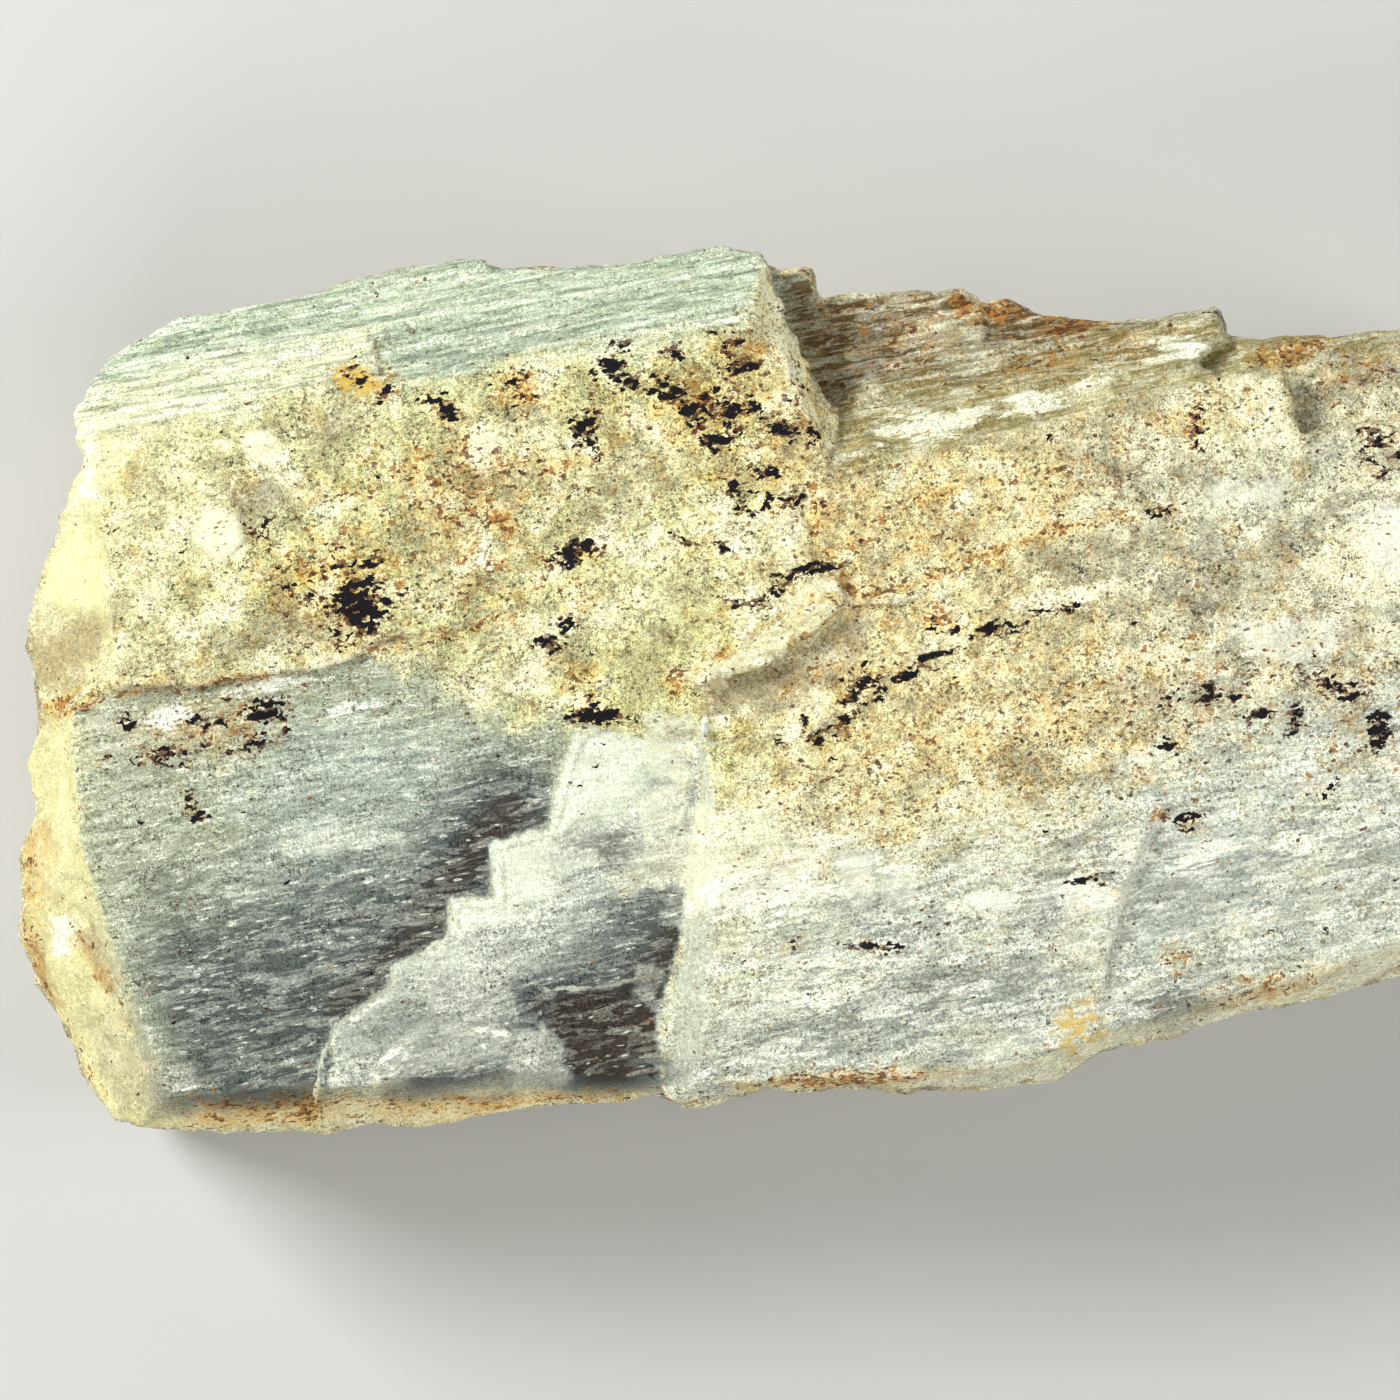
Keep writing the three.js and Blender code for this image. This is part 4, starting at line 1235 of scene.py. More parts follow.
@dataclass
class NodeSheet:
    """A node tree that is filled from top to bottom."""

    tree: bpy.types.NodeTree

    def add(self, kind: str, **settings: object) -> bpy.types.Node:
        """Adds a node.

        Args:
            kind: The node's type name.
            settings: Values for the node's own settings.

        Returns:
            The new node.
        """
        node = self.tree.nodes.new(kind)
        for name, value in settings.items():
            setattr(node, name, value)
        return node

    def feed(self, socket: bpy.types.NodeSocket, value: object) -> None:
        """Links a socket to an output, or sets it to a constant.

        Args:
            socket: The socket to feed.
            value: An output of another node, a number or a colour.
        """
        if isinstance(value, bpy.types.NodeSocket):
            self.tree.links.new(value, socket)
        elif isinstance(value, tuple):
            socket.default_value = (*value, 1.0)
        else:
            socket.default_value = value

    def layer(self, layer: Layer, output: str = "Fac") -> bpy.types.NodeSocket:
        """Reads what is stored on the mesh."""
        return self.add("ShaderNodeAttribute", attribute_name=layer.value).outputs[output]

    def mapped(self, vector: bpy.types.NodeSocket, along: float, across: float) -> bpy.types.NodeSocket:
        """Turns coordinates to the blades and scales them.

        Args:
            vector: The coordinates to read.
            along: Scale along the blades.
            across: Scale across the blades and up.

        Returns:
            The new coordinates.
        """
        turned = self.add("ShaderNodeMapping")
        turned.inputs["Rotation"].default_value = (0.0, 0.0, -BLADE_TURN)
        self.feed(turned.inputs["Vector"], vector)
        scaled = self.add("ShaderNodeMapping")
        scaled.inputs["Scale"].default_value = (along, across, across)
        self.feed(scaled.inputs["Vector"], turned.outputs["Vector"])
        return scaled.outputs["Vector"]

    def noise(
        self, vector: bpy.types.NodeSocket, scale: float, detail: float = 4.0, rough: float = 0.55
    ) -> bpy.types.NodeSocket:
        """Adds a noise texture.

        Args:
            vector: The coordinates to read.
            scale: Features per unit of the coordinates.
            detail: Number of finer layers.
            rough: Weight of the finer layers.

        Returns:
            The noise's value, of about 0 to 1.
        """
        node = self.add("ShaderNodeTexNoise")
        self.feed(node.inputs["Vector"], vector)
        node.inputs["Scale"].default_value = scale
        node.inputs["Detail"].default_value = detail
        node.inputs["Roughness"].default_value = rough
        return node.outputs["Fac"]

    def warped(self, vector: bpy.types.NodeSocket, scale: float, amount: float) -> bpy.types.NodeSocket:
        """Shakes coordinates with a noise.

        Args:
            vector: The coordinates to read.
            scale: Features per unit of the coordinates.
            amount: How far the coordinates move.

        Returns:
            The shaken coordinates.
        """
        shake = self.noise(vector, scale, 1.0, 0.6).node.outputs["Color"]
        node = self.add("ShaderNodeVectorMath", operation="MULTIPLY_ADD")
        self.feed(node.inputs[0], shake)
        node.inputs[1].default_value = (amount, amount, amount)
        self.feed(node.inputs[2], vector)
        return node.outputs["Vector"]

    def cells(self, vector: bpy.types.NodeSocket, scale: float) -> Cells:
        """Splits the surface into cells with values of their own.

        Args:
            vector: The coordinates to read.
            scale: Cells per unit of the coordinates.

        Returns:
            Two separate values of the cell, 0 to 1, and the distance to its middle.
        """
        node = self.add("ShaderNodeTexVoronoi")
        self.feed(node.inputs["Vector"], vector)
        node.inputs["Scale"].default_value = scale
        parts = self.add("ShaderNodeSeparateColor")
        self.feed(parts.inputs["Color"], node.outputs["Color"])
        return parts.outputs["Red"], parts.outputs["Green"], node.outputs["Distance"]

    def picked(self, value: bpy.types.NodeSocket, share: bpy.types.NodeSocket) -> bpy.types.NodeSocket:
        """Picks a share of the cells, whole and with sharp edges."""
        return self.step(self.math("SUBTRACT", share, value), 0.0, 0.03)

    def dots(self, cells: Cells, density: bpy.types.NodeSocket, size: float) -> bpy.types.NodeSocket:
        """Scatters dots, more of them where the density is high.

        Args:
            cells: The cells that can have a dot.
            density: The share of the cells that have one.
            size: The largest dot's radius, where the cells are 1 apart.

        Returns:
            The dots' cover, 0 to 1.
        """
        chance, width, distance = cells
        radius = self.math("MULTIPLY_ADD", width, 0.5 * size, 0.5 * size)
        inside = self.math("SUBTRACT", radius, distance)
        return self.times(self.picked(chance, density), self.step(inside, 0.0, 0.3 * size))

    def math(self, operation: str, *values: object) -> bpy.types.NodeSocket:
        """Adds a math node."""
        node = self.add("ShaderNodeMath", operation=operation)
        for socket, value in zip(node.inputs, values):
            self.feed(socket, value)
        return node.outputs["Value"]

    def times(self, first: object, second: object, factor: float = 1.0) -> bpy.types.NodeSocket:
        """Multiplies two values and a constant factor."""
        product = self.math("MULTIPLY", first, second)
        return product if factor == 1.0 else self.math("MULTIPLY", product, factor)

    def step(self, value: bpy.types.NodeSocket, low: float, high: float) -> bpy.types.NodeSocket:
        """Adds a smooth step from 0 at low to 1 at high.

        Args:
            value: The value to read.
            low: Where the step starts.
            high: Where the step ends.

        Returns:
            The step's value.
        """
        node = self.add("ShaderNodeMapRange", interpolation_type="SMOOTHSTEP")
        self.feed(node.inputs["Value"], value)
        node.inputs["From Min"].default_value = low
        node.inputs["From Max"].default_value = high
        return node.outputs["Result"]

    def mix(self, share: object, first: object, second: object, blend: str = "MIX") -> bpy.types.NodeSocket:
        """Mixes two colours.

        Args:
            share: How much of the second colour there is.
            first: A colour or a colour output.
            second: A colour or a colour output.
            blend: The way the second lies on the first.

        Returns:
            The mixed colour.
        """
        node = self.add("ShaderNodeMix", data_type="RGBA", blend_type=blend, clamp_result=True)
        self.feed(node.inputs["Factor"], share)
        self.feed(node.inputs["A"], first)
        self.feed(node.inputs["B"], second)
        return node.outputs["Result"]

    def broken_up(
        self, layer: Layer, noise: bpy.types.NodeSocket, swing: float, low: float, high: float
    ) -> bpy.types.NodeSocket:
        """Breaks a stain's soft cover up into ragged patches.

        Args:
            layer: The stain.
            noise: The noise that breaks it up.
            swing: How strongly the noise does so.
            low: Cover at which patches start.
            high: Cover at which they are full.

        Returns:
            The patches' cover, 0 to 1.
        """
        ragged = self.math("MULTIPLY_ADD", noise, swing, -0.5 * swing)
        return self.step(self.math("ADD", self.layer(layer), ragged), low, high)


@dataclass(frozen=True)
class MineralFinish:
    """The crystal's skin: cream crust, glassy cleavage, chalky flakes, rust and black oxide.

    A stretch is the share of a pattern's scale that is left along the blades, and cells are counted per
    millimetre.
    """

    name: str = "spodumene_skin"
    refraction: float = 1.6
    shine: float = 0.12
    crust_roughness: float = 0.78
    glass_polish: float = 0.34
    bump_strength: float = 0.6
    bump_height: float = 0.45
    dash_stretch: float = 0.25
    blade_stretch: float = 0.06
    crumb_stretch: float = 0.62
    fine_crumbs: float = 3.0
    coarse_crumbs: float = 1.9
    fine_flakes: float = 2.8
    coarse_flakes: float = 1.3
    pale: Colour = (0.95, 0.92, 0.60)
    tan: Colour = (0.84, 0.70, 0.50)
    chalk: Colour = (0.91, 0.95, 0.78)
    shadow: Colour = (0.66, 0.65, 0.64)
    glass_shadow: Colour = (0.58, 0.61, 0.62)
    deep: Colour = (0.066, 0.082, 0.082)
    umber: Colour = (0.042, 0.028, 0.018)
    mid_brown: Colour = (0.30, 0.18, 0.06)
    brown: Colour = (0.105, 0.028, 0.011)
    orange: Colour = (0.45, 0.185, 0.03)
    speck: Colour = (0.105, 0.068, 0.035)
    wash: Colour = (1.0, 0.74, 0.42)
    gold: Colour = (0.70, 0.45, 0.05)
    black: Colour = (0.009, 0.007, 0.009)

    def material(self) -> bpy.types.Material:
        """Builds the material.

        Returns:
            The finished material.
        """
        material = bpy.data.materials.new(self.name)
        material.use_nodes = True
        sheet = NodeSheet(material.node_tree)
        surface = material.node_tree.nodes["Principled BSDF"]
        place = sheet.add("ShaderNodeTexCoord").outputs["Object"]
        grains = sheet.mapped(place, 1.0 / MM, 1.0 / MM)
        dashes = sheet.mapped(place, self.dash_stretch / MM, 1.0 / MM)
        blades = sheet.mapped(place, self.blade_stretch / MM, 1.0 / MM)
        colour = self.crusted(sheet, grains)
        colour = self.striped(sheet, colour, blades, dashes)
        colour = self.flaked(sheet, colour, grains, dashes)
        colour = self.grained(sheet, colour, grains, dashes)
        colour = self.stained(sheet, colour, grains)
        sheet.feed(surface.inputs["Base Color"], colour)
        dull = sheet.math("MULTIPLY_ADD", sheet.layer(Layer.GLOSS), -self.glass_polish, self.crust_roughness)
        uneven = sheet.math("MULTIPLY_ADD", sheet.noise(grains, 1.4, 2.0), 0.24, -0.12)
        sheet.feed(surface.inputs["Roughness"], sheet.math("ADD", dull, uneven))
        sheet.feed(surface.inputs["Normal"], self.bumps(sheet, grains, blades))
        surface.inputs["IOR"].default_value = self.refraction
        surface.inputs["Specular IOR Level"].default_value = self.shine
        return material

    def crusted(self, sheet: NodeSheet, grains: bpy.types.NodeSocket) -> bpy.types.NodeSocket:
        """Breaks the skins' colour up into grains and patches.

        Args:
            sheet: The node tree to fill.
            grains: Coordinates in millimetres.

        Returns:
            The colour so far.
        """
        tint = sheet.layer(Layer.TINT, "Color")
        share = sheet.layer(Layer.GRAIN)
        cloud = sheet.noise(grains, 0.2, 4.0, 0.62)
        grey = sheet.mix(1.0, tint, self.shadow, "MULTIPLY")
        colour = sheet.mix(sheet.times(sheet.step(cloud, 0.5, 0.4), share, 0.8), tint, grey)
        colour = sheet.mix(sheet.times(sheet.step(cloud, 0.5, 0.62), share, 0.8), colour, self.pale)
        haze = sheet.step(sheet.noise(grains, 0.31, 4.0, 0.7), 0.52, 0.66)
        stained = sheet.mix(1.0, colour, self.tan, "MULTIPLY")
        return sheet.mix(sheet.times(haze, share, 0.8), colour, stained)

    def grained(
        self,
        sheet: NodeSheet,
        colour: bpy.types.NodeSocket,
        grains: bpy.types.NodeSocket,
        dashes: bpy.types.NodeSocket,
    ) -> bpy.types.NodeSocket:
        """Breaks the colour up into grains of many sizes.

        Args:
            sheet: The node tree to fill.
            colour: The colour so far.
            grains: Coordinates in millimetres.
            dashes: Coordinates stretched a little along the blades.

        Returns:
            The colour so far.
        """
        grit = sheet.math("SUBTRACT", sheet.noise(grains, 2.4, 2.0, 1.0), 0.5)
        amount = sheet.layer(Layer.GRIT)
        uneven = sheet.step(sheet.noise(grains, 0.35, 2.0, 0.6), 0.38, 0.62)
        swing = sheet.times(amount, sheet.math("MULTIPLY_ADD", uneven, 2.4, 1.8))
        share = sheet.layer(Layer.GRAIN)
        lying = sheet.noise(dashes, 0.9, 2.0, 1.0)
        loose = sheet.noise(grains, 0.55, 2.0, 1.0)
        lumps = sheet.math("MULTIPLY_ADD", sheet.math("SUBTRACT", loose, lying), share, lying)
        lumps = sheet.times(sheet.math("SUBTRACT", lumps, 0.5), amount, 1.7)
        dust = sheet.math("SUBTRACT", sheet.noise(grains, 5.5, 1.0, 1.0), 0.5)
        lumps = sheet.math("ADD", lumps, sheet.times(dust, amount, 2.4))
        light = sheet.math("ADD", sheet.math("ADD", sheet.times(grit, swing), lumps), 1.0)
        return sheet.mix(1.0, colour, light, "MULTIPLY")

    def striped(
        self,
        sheet: NodeSheet,
        colour: bpy.types.NodeSocket,
        blades: bpy.types.NodeSocket,
        dashes: bpy.types.NodeSocket,
    ) -> bpy.types.NodeSocket:
        """Adds long stripes and short pale dashes along the blades, and the deep glassy tone.

        Args:
            sheet: The node tree to fill.
            colour: The colour so far.
            blades: Coordinates stretched along the blades.
            dashes: Coordinates stretched a little along the blades.

        Returns:
            The colour so far.
        """
        streak = sheet.layer(Layer.STREAK)
        stripes = sheet.noise(blades, 1.3, 3.0, 0.65)
        shadow = sheet.mix(1.0, colour, self.glass_shadow, "MULTIPLY")
        colour = sheet.mix(sheet.times(sheet.step(stripes, 0.51, 0.4), streak, 0.95), colour, shadow)
        colour = sheet.mix(sheet.times(sheet.step(stripes, 0.53, 0.64), streak, 0.7), colour, self.chalk)
        tone = sheet.math("MULTIPLY_ADD", sheet.noise(dashes, 0.45, 3.0, 0.6), 0.4, -0.2)
        tone = sheet.math("ADD", sheet.layer(Layer.DEEP), tone)
        colour = sheet.mix(sheet.times(sheet.step(tone, 0.0, 1.05), 0.94), colour, self.deep)
        hair = sheet.step(sheet.noise(blades, 2.6, 2.0, 0.6), 0.58, 0.7)
        dash = sheet.step(sheet.noise(dashes, 1.5, 3.0, 0.65), 0.6, 0.66)
        glint = sheet.math("MAXIMUM", sheet.times(hair, 0.4), dash)
        colour = sheet.mix(sheet.times(glint, sheet.layer(Layer.GLOSS), 0.5), colour, self.chalk)
        return sheet.mix(sheet.times(sheet.step(tone, 0.9, 1.3), 0.88), colour, self.umber)

    def flaked(
        self,
        sheet: NodeSheet,
        colour: bpy.types.NodeSocket,
        grains: bpy.types.NodeSocket,
        dashes: bpy.types.NodeSocket,
    ) -> bpy.types.NodeSocket:
        """Adds loose cleavage flakes, white salt on the glassy faces, chalky patches and worn pale edges.

        Args:
            sheet: The node tree to fill.
            colour: The colour so far.
            grains: Coordinates in millimetres.
            dashes: Coordinates stretched a little along the blades.

        Returns:
            The colour so far.
        """
        share = sheet.layer(Layer.FLAKE)
        torn = sheet.warped(dashes, 0.9, 1.1)
        shadow = sheet.mix(1.0, colour, self.glass_shadow, "MULTIPLY")
        fine, coarse = (sheet.cells(torn, scale) for scale in (self.fine_flakes, self.coarse_flakes))
        for flake, weight in ((coarse[0], 0.44), (fine[0], 0.32)):
            colour = sheet.mix(sheet.times(sheet.step(flake, 0.38, 0.26), share, weight), colour, shadow)
            colour = sheet.mix(sheet.times(sheet.step(flake, 0.68, 0.8), share, weight), colour, self.chalk)
        salt = sheet.dots((fine[1], fine[0], fine[2]), sheet.times(sheet.layer(Layer.GLOSS), 0.2), 0.4)
        colour = sheet.mix(sheet.times(salt, 0.5), colour, self.chalk)
        patch = sheet.broken_up(Layer.CHALK, sheet.noise(torn, 0.5, 4.0, 0.7), 2.6, 0.5, 0.72)
        speckled = sheet.math("MULTIPLY_ADD", sheet.noise(grains, 2.2, 2.0, 0.7), 0.6, 0.6)
        white = sheet.mix(sheet.layer(Layer.GRAIN), self.chalk, self.pale)
        colour = sheet.mix(sheet.times(patch, speckled, 0.95), colour, white)
        return sheet.mix(sheet.layer(Layer.EDGE), colour, white)

    def stained(
        self, sheet: NodeSheet, colour: bpy.types.NodeSocket, grains: bpy.types.NodeSocket
    ) -> bpy.types.NodeSocket:
        """Lays a brown darkening in the crevices, rust, gold clay, fine specks and black oxide over the
        colour.

        Args:
            sheet: The node tree to fill.
            colour: The colour so far.
            grains: Coordinates in millimetres.

        Returns:
            The finished colour.
        """
        stretched = sheet.add("ShaderNodeMapping")
        stretched.inputs["Scale"].default_value = (self.crumb_stretch, 1.0, 1.0)
        sheet.feed(stretched.inputs["Vector"], sheet.warped(grains, 1.3, 0.7))
        crumbs = stretched.outputs["Vector"]
        wash = sheet.broken_up(Layer.RUST, sheet.noise(grains, 0.5, 3.0, 0.7), 2.4, 0.15, 1.0)
        colour = sheet.mix(sheet.times(wash, 0.72), colour, self.wash, "MULTIPLY")
        # Darker and browner where the mesh lies below its neighbours, in the crevices of the rough skins.
        colour = sheet.mix(sheet.layer(Layer.CREVICE), colour, self.mid_brown)
        clumps = sheet.broken_up(Layer.RUST, sheet.noise(grains, 0.8, 3.0, 0.6), 2.8, 0.25, 1.4)
        fine, coarse = (sheet.cells(crumbs, scale) for scale in (self.fine_crumbs, self.coarse_crumbs))
        chance, hue, middle = fine
        earth = sheet.mix(sheet.step(hue, 0.3, 0.6), self.orange, self.brown)
        colour = sheet.mix(sheet.times(sheet.picked(chance, sheet.times(clumps, 0.75)), 0.85), colour, earth)
        gold = sheet.broken_up(Layer.GOLD, sheet.noise(grains, 0.9, 3.0, 0.7), 2.2, 0.5, 1.0)
        colour = sheet.mix(sheet.times(gold, 0.75), colour, self.gold)
        speck_share = sheet.layer(Layer.SPECK)
        small = sheet.dots(fine, sheet.times(speck_share, 0.2), 0.55)
        large = sheet.dots((coarse[1], coarse[0], coarse[2]), sheet.times(speck_share, 0.07), 0.5)
        cluster = sheet.step(sheet.noise(grains, 0.26, 3.0, 0.65), 0.48, 0.6)
        rusty = sheet.dots((hue, chance, middle), sheet.times(cluster, speck_share, 0.7), 0.66)
        colour = sheet.mix(sheet.times(rusty, 0.75), colour, self.mid_brown)
        freckles = sheet.step(sheet.noise(crumbs, 0.9, 1.0), 0.6, 0.7)
        colour = sheet.mix(sheet.times(freckles, sheet.times(cluster, speck_share), 0.42), colour, self.mid_brown)
        specks = sheet.math("MAXIMUM", small, large)
        colour = sheet.mix(sheet.times(specks, 0.9), colour, self.speck)
        uneven = sheet.noise(crumbs, 0.7, 3.0, 0.6)
        fringe = sheet.broken_up(Layer.BLACK, uneven, 2.2, 0.2, 1.1)
        browned = sheet.picked(chance, sheet.times(fringe, 0.8))
        colour = sheet.mix(sheet.times(browned, 0.85), colour, self.brown)
        oxide = sheet.broken_up(Layer.BLACK, uneven, 2.4, 0.3, 1.3)
        for value, part in ((coarse[0], 0.78), (chance, 0.5)):
            colour = sheet.mix(sheet.picked(value, sheet.times(oxide, part)), colour, self.black)
        return colour

    def bumps(
        self, sheet: NodeSheet, grains: bpy.types.NodeSocket, blades: bpy.types.NodeSocket
    ) -> bpy.types.NodeSocket:
        """Adds the relief too fine for the mesh: sugary grains in the crust and hair lines along the blades.

        Args:
            sheet: The node tree to fill.
            grains: Coordinates in millimetres.
            blades: Coordinates stretched along the blades.

        Returns:
            The surface normal.
        """
        sugar = sheet.times(sheet.noise(grains, 1.9, 2.0, 0.7), sheet.layer(Layer.GRAIN))
        lines = sheet.times(sheet.noise(blades, 2.4, 1.0, 0.6), sheet.layer(Layer.STREAK))
        bump = sheet.add("ShaderNodeBump")
        bump.inputs["Strength"].default_value = self.bump_strength
        bump.inputs["Distance"].default_value = self.bump_height * MM
        sheet.feed(bump.inputs["Height"], sheet.math("ADD", sugar, lines))
        return bump.outputs["Normal"]


@dataclass
class SpodumeneCrystal:
    """The crystal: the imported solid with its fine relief, stains and skin."""

    voxel: float = 0.48
    merge: float = 0.002
    triangles: int = 190_000
    hold: float = 20.0
    floor_clear: float = 2.0
    edge_wear: float = 0.35
    crevice_darkening: float = 0.55
    faces: FaceMap = field(default_factory=FaceMap)
    relief: Relief = field(default_factory=Relief)
    tints: MineralTints = field(default_factory=MineralTints)
    patches: PatchWork = field(default_factory=PatchWork)
    stains: Stains = field(default_factory=Stains)
    finish: MineralFinish = field(default_factory=MineralFinish)

    def build(self) -> bpy.types.Object:
        """Builds the crystal.

        Returns:
            The finished piece.
        """
        piece = self.copy_of_solid()
        solid = self.face_tree(piece)
        self.close_skin(piece)
        skins = self.skins_of(self.points_of(piece), solid)
        self.work_relief(piece, skins)
        self.thin_out(piece, skins)
        self.paint(piece, solid)
        piece.data.materials.clear()
        piece.data.materials.append(self.finish.material())
        bpy.ops.object.shade_smooth()
        return piece

    def copy_of_solid(self) -> bpy.types.Object:
        """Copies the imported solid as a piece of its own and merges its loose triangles.

        Returns:
            The copy.
        """
        bpy.ops.object.select_all(action="DESELECT")
        node = frame["nodes"][NODE]
        node.select_set(True)
        bpy.context.view_layer.objects.active = node
        bpy.ops.object.duplicate()
        piece = bpy.context.object
        piece.name = "weathered_crystal"
        piece.data.name = piece.name
        piece.parent = None
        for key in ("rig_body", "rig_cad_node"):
            del piece[key]
        bpy.ops.object.mode_set(mode="EDIT")
        bpy.ops.mesh.select_all(action="SELECT")
        bpy.ops.mesh.remove_doubles(threshold=self.merge * MM)
        bpy.ops.object.mode_set(mode="OBJECT")
        return piece

    def face_tree(self, piece: bpy.types.Object) -> BVHTree:
        """Makes a search tree of the solid's own flat faces."""
        corners = [vertex.co.copy() for vertex in piece.data.vertices]
        return BVHTree.FromPolygons(corners, [tuple(face.vertices) for face in piece.data.polygons])

    def close_skin(self, piece: bpy.types.Object) -> None:
        """Turns the solid's large faces into an even skin of small ones.

        Args:
            piece: The crystal.
        """
        remesh = piece.modifiers.new("even_skin", "REMESH")
        remesh.mode = "VOXEL"
        remesh.voxel_size = self.voxel * MM
        bpy.ops.object.modifier_apply(modifier=remesh.name)

    def points_of(self, piece: bpy.types.Object) -> np.ndarray:
        """Reads the mesh's points.

        Args:
            piece: The crystal.

        Returns:
            One row per point, in millimetres.
        """
        flat = np.zeros(len(piece.data.vertices) * 3, np.float32)
        piece.data.vertices.foreach_get("co", flat)
        return flat.reshape(-1, 3).astype(float) / MM

    def normals_of(self, piece: bpy.types.Object) -> np.ndarray:
        """Reads the mesh's point normals.

        Args:
            piece: The crystal.

        Returns:
            One row per point.
        """
        flat = np.zeros(len(piece.data.vertices) * 3, np.float32)
        piece.data.vertex_normals.foreach_get("vector", flat)
        return flat.reshape(-1, 3).astype(float)

    def skins_of(self, points: np.ndarray, solid: BVHTree) -> Skins:
        """Tells the skins apart by the solid's nearest face."""
        normals = np.array([solid.find_nearest(Vector(point * MM))[1] for point in points])
        return self.faces.skins(points, normals)

    def work_relief(self, piece: bpy.types.Object, skins: Skins) -> None:
        """Moves the skin's points in and out, and leaves the resting face flat.

        Args:
            piece: The crystal.
            skins: How much of each skin a point has.
        """
        points = self.points_of(piece)
        height = self.relief.height_at(points, skins)
        height *= ease(points[:, 2], 0.2, self.floor_clear)
        moved = points + height[:, None] * self.normals_of(piece)
        moved[:, 2] = np.maximum(moved[:, 2], 0.0)
        piece.data.vertices.foreach_set("co", (moved * MM).astype(np.float32).ravel())
        piece.data.update()

    def thin_out(self, piece: bpy.types.Object, skins: Skins) -> None:
        """Takes triangles away on the steep sides and the resting face, and leaves the upper faces fine.

        Args:
            piece: The crystal.
            skins: How much of each skin a point has.
        """
        plain = np.flatnonzero(skins[Skin.WALL] + skins[Skin.BASE] > 0.5)
        group = piece.vertex_groups.new(name="plain_sides")
        group.add(plain.tolist(), 1.0, "REPLACE")
        thin = piece.modifiers.new("thin_out", "DECIMATE")
        thin.ratio = min(1.0, self.triangles / (2.0 * len(piece.data.polygons)))
        thin.vertex_group = group.name
        thin.vertex_group_factor = self.hold
        bpy.ops.object.modifier_apply(modifier=thin.name)
        piece.vertex_groups.clear()

    def bulge_of(self, piece: bpy.types.Object, points: np.ndarray) -> np.ndarray:
        """Measures how far each point stands out from its neighbours.

        Args:
            piece: The crystal.
            points: One row per point of its mesh.

        Returns:
            The height above the neighbours' middle, below zero in a crevice.
        """
        count = len(points)
        pairs = np.zeros(len(piece.data.edges) * 2, np.int32)
        piece.data.edges.foreach_get("vertices", pairs)
        first, second = pairs.reshape(-1, 2).T
        degree = np.bincount(pairs, minlength=count)
        middle = np.zeros((count, 3))
        for axis in range(3):
            middle[:, axis] = np.bincount(first, points[second, axis], count)
            middle[:, axis] += np.bincount(second, points[first, axis], count)
        return ((points - middle / degree[:, None]) * self.normals_of(piece)).sum(axis=1)

    def paint(self, piece: bpy.types.Object, solid: BVHTree) -> None:
        """Stores the skins' colours, the stains and the wear on the mesh.

        Args:
            piece: The crystal.
            solid: The search tree of the solid's faces.
        """
        points = self.points_of(piece)
        skins = self.skins_of(points, solid)
        bulge = self.bulge_of(piece, points)
        rough = sum(skins[skin] for skin in (Skin.CRUST, Skin.END, Skin.WALL, Skin.BASE))
        shares = {
            layer: sum(part * skins[skin] for skin, part in row.items()) for layer, row in SHARES.items()
        }
        values = {
            **shares,
            Layer.EDGE: self.edge_wear * ease(bulge, 0.06, 0.2) * (1.0 - 0.7 * rough - 0.7 * skins[Skin.RIM]),
            # Darker in the crevices of the rough skins, at points that lie below their neighbours' middle.
            Layer.CREVICE: self.crevice_darkening * ease(-bulge, 0.07, 0.22) * rough,
            **self.stains.covers(points, skins),
        }
        tint = np.ones((len(points), 4))
        tint[:, :3] = self.patches.laid(points, self.tints.mixed(points, skins), values)
        colours = piece.data.color_attributes.new(Layer.TINT.value, "FLOAT_COLOR", "POINT")
        colours.data.foreach_set("color", tint.astype(np.float32).ravel())
        for layer, value in values.items():
            stored = piece.data.attributes.new(layer.value, "FLOAT", "POINT")
            stored.data.foreach_set("value", value.astype(np.float32))


@dataclass(frozen=True)
class Lamp:
    """A soft square light that points at the crystal, in metres and watts."""

    name: str
    place: tuple[float, float, float]
    size: float
    power: float

    def hang(self) -> None:
        """Hangs the lamp and turns it towards the crystal."""
        light = bpy.data.lights.new(self.name, "AREA")
        light.shape = "SQUARE"
        light.size = self.size
        light.energy = self.power
        lamp = bpy.data.objects.new(self.name, light)
        lamp.location = self.place
        lamp.rotation_euler = Vector(self.place).to_track_quat("Z", "Y").to_euler()
        bpy.context.scene.collection.objects.link(lamp)


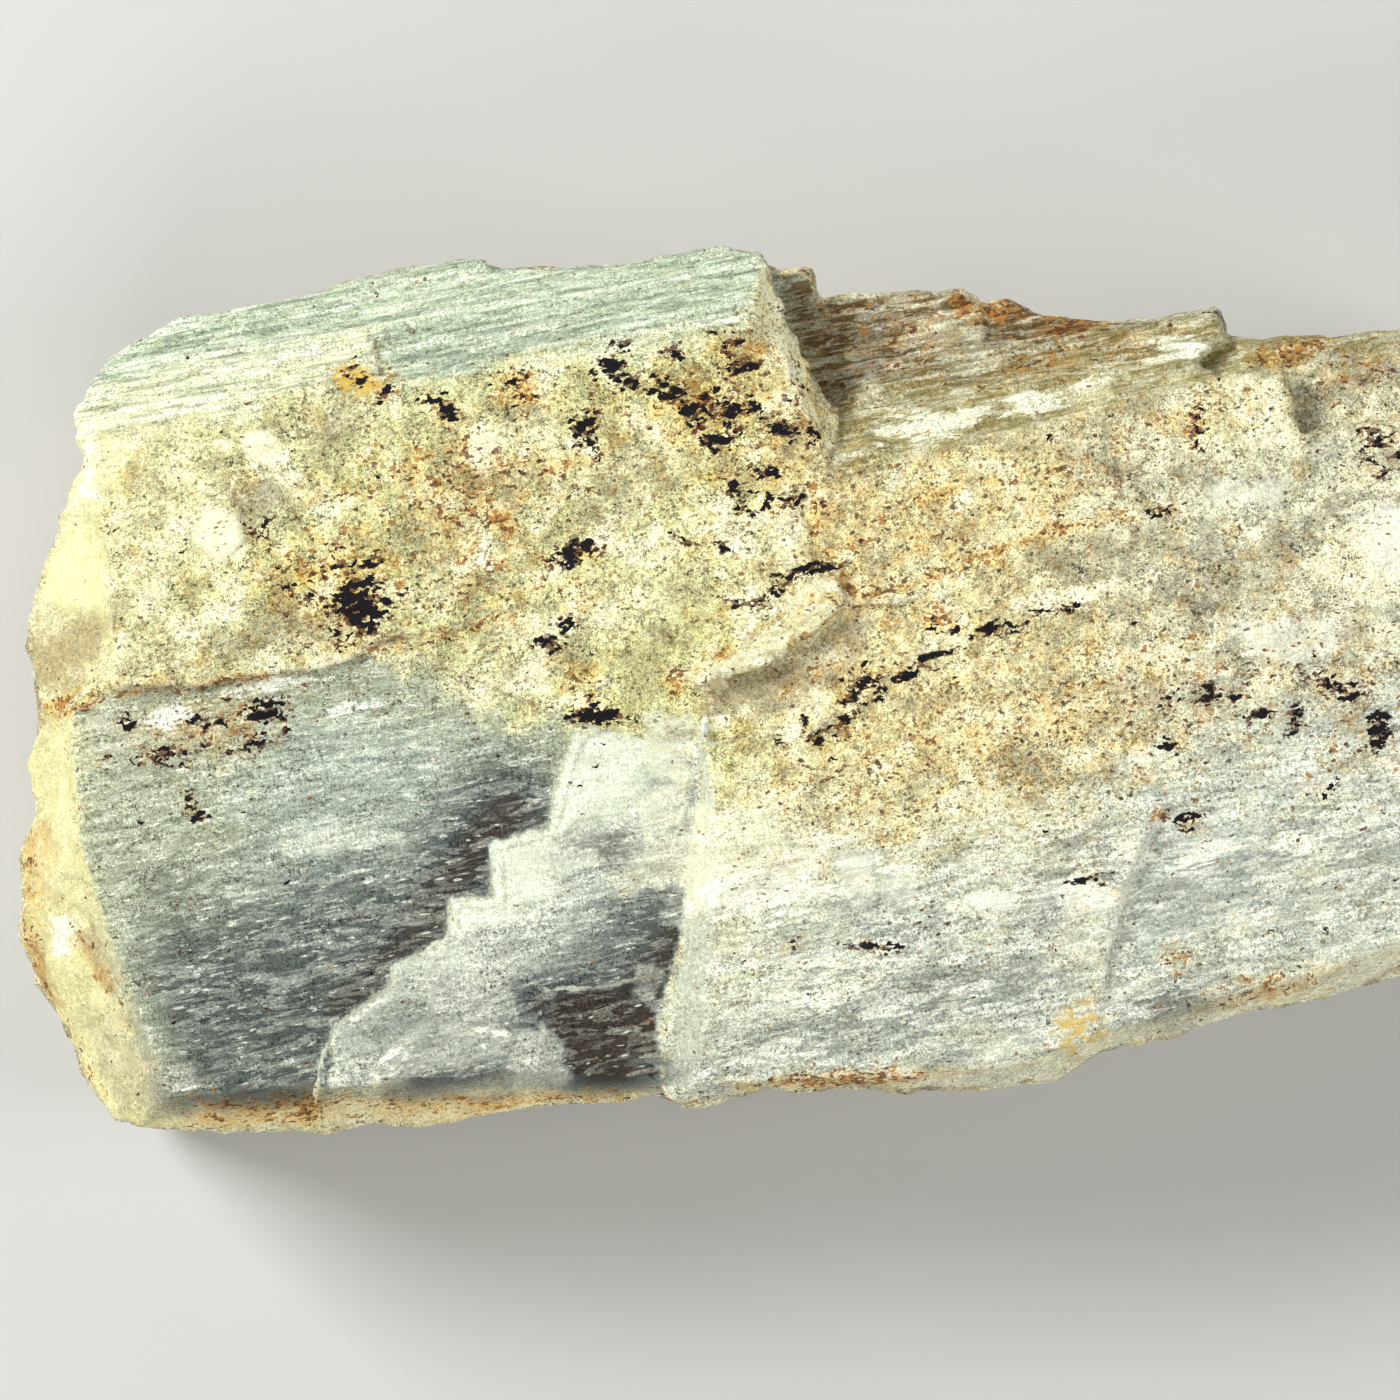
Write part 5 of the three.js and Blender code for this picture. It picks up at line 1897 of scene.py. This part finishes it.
@dataclass(frozen=True)
class Studio:
    """A pale floor, soft lights and the camera straight above."""

    lamps: tuple[Lamp, ...] = (
        Lamp("key", (-0.70, 0.40, 0.62), 0.40, 10.2),
        Lamp("fill", (0.75, -0.1, 0.6), 0.5, 3.2),
        Lamp("front", (-0.1, -0.7, 0.6), 0.6, 3.0),
        Lamp("back", (0.2, 0.8, 0.5), 0.5, 1.2),
    )
    view_width: float = 140.0
    view_centre: Plan = (-12.8, -1.0)
    view_height: float = 36.0
    lens: float = 300.0
    sensor: float = 36.0
    floor_size: float = 6.0
    floor_colour: Colour = (0.62, 0.62, 0.60)
    floor_roughness: float = 0.9
    room_light: float = 0.16

    def build(self) -> None:
        """Builds the floor, the lights and the camera."""
        self.lay_floor()
        for lamp in self.lamps:
            lamp.hang()
        self.light_room()
        self.place_camera()

    def lay_floor(self) -> None:
        """Lays the floor under the crystal."""
        bpy.ops.object.select_all(action="DESELECT")
        bpy.ops.mesh.primitive_plane_add(size=self.floor_size)
        floor = bpy.context.object
        floor.name = "floor"
        material = bpy.data.materials.new("floor_paper")
        material.use_nodes = True
        paper = material.node_tree.nodes["Principled BSDF"]
        paper.inputs["Base Color"].default_value = (*self.floor_colour, 1.0)
        paper.inputs["Roughness"].default_value = self.floor_roughness
        floor.data.materials.append(material)

    def light_room(self) -> None:
        """Fills the shadows with a weak even light."""
        world = bpy.data.worlds.new("studio")
        world.use_nodes = True
        sky = world.node_tree.nodes["Background"]
        sky.inputs["Color"].default_value = (1.0, 1.0, 1.0, 1.0)
        sky.inputs["Strength"].default_value = self.room_light
        bpy.context.scene.world = world

    def place_camera(self) -> None:
        """Places the camera straight above, with the frame's width at the height of the upper faces."""
        lens = bpy.data.cameras.new("camera")
        lens.lens = self.lens
        lens.sensor_width = self.sensor
        camera = bpy.data.objects.new("camera", lens)
        away = self.view_width * MM * self.lens / self.sensor
        camera.location = (self.view_centre[0] * MM, self.view_centre[1] * MM, self.view_height * MM + away)
        lens.clip_end = 10.0 * away
        bpy.context.scene.collection.objects.link(camera)
        bpy.context.scene.camera = camera


def main() -> None:
    """Builds the crystal and the studio."""
    logging.basicConfig(level=logging.INFO, format="%(name)s: %(message)s")
    bpy.context.scene.view_settings.view_transform = "Standard"
    piece = SpodumeneCrystal().build()
    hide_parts(NODE)
    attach(piece, "root")
    LOG.info("%s has %d faces", piece.name, len(piece.data.polygons))
    Studio().build()
    LOG.info("the floor, the lights and the camera are in place")


if __name__ == "__main__":
    main()
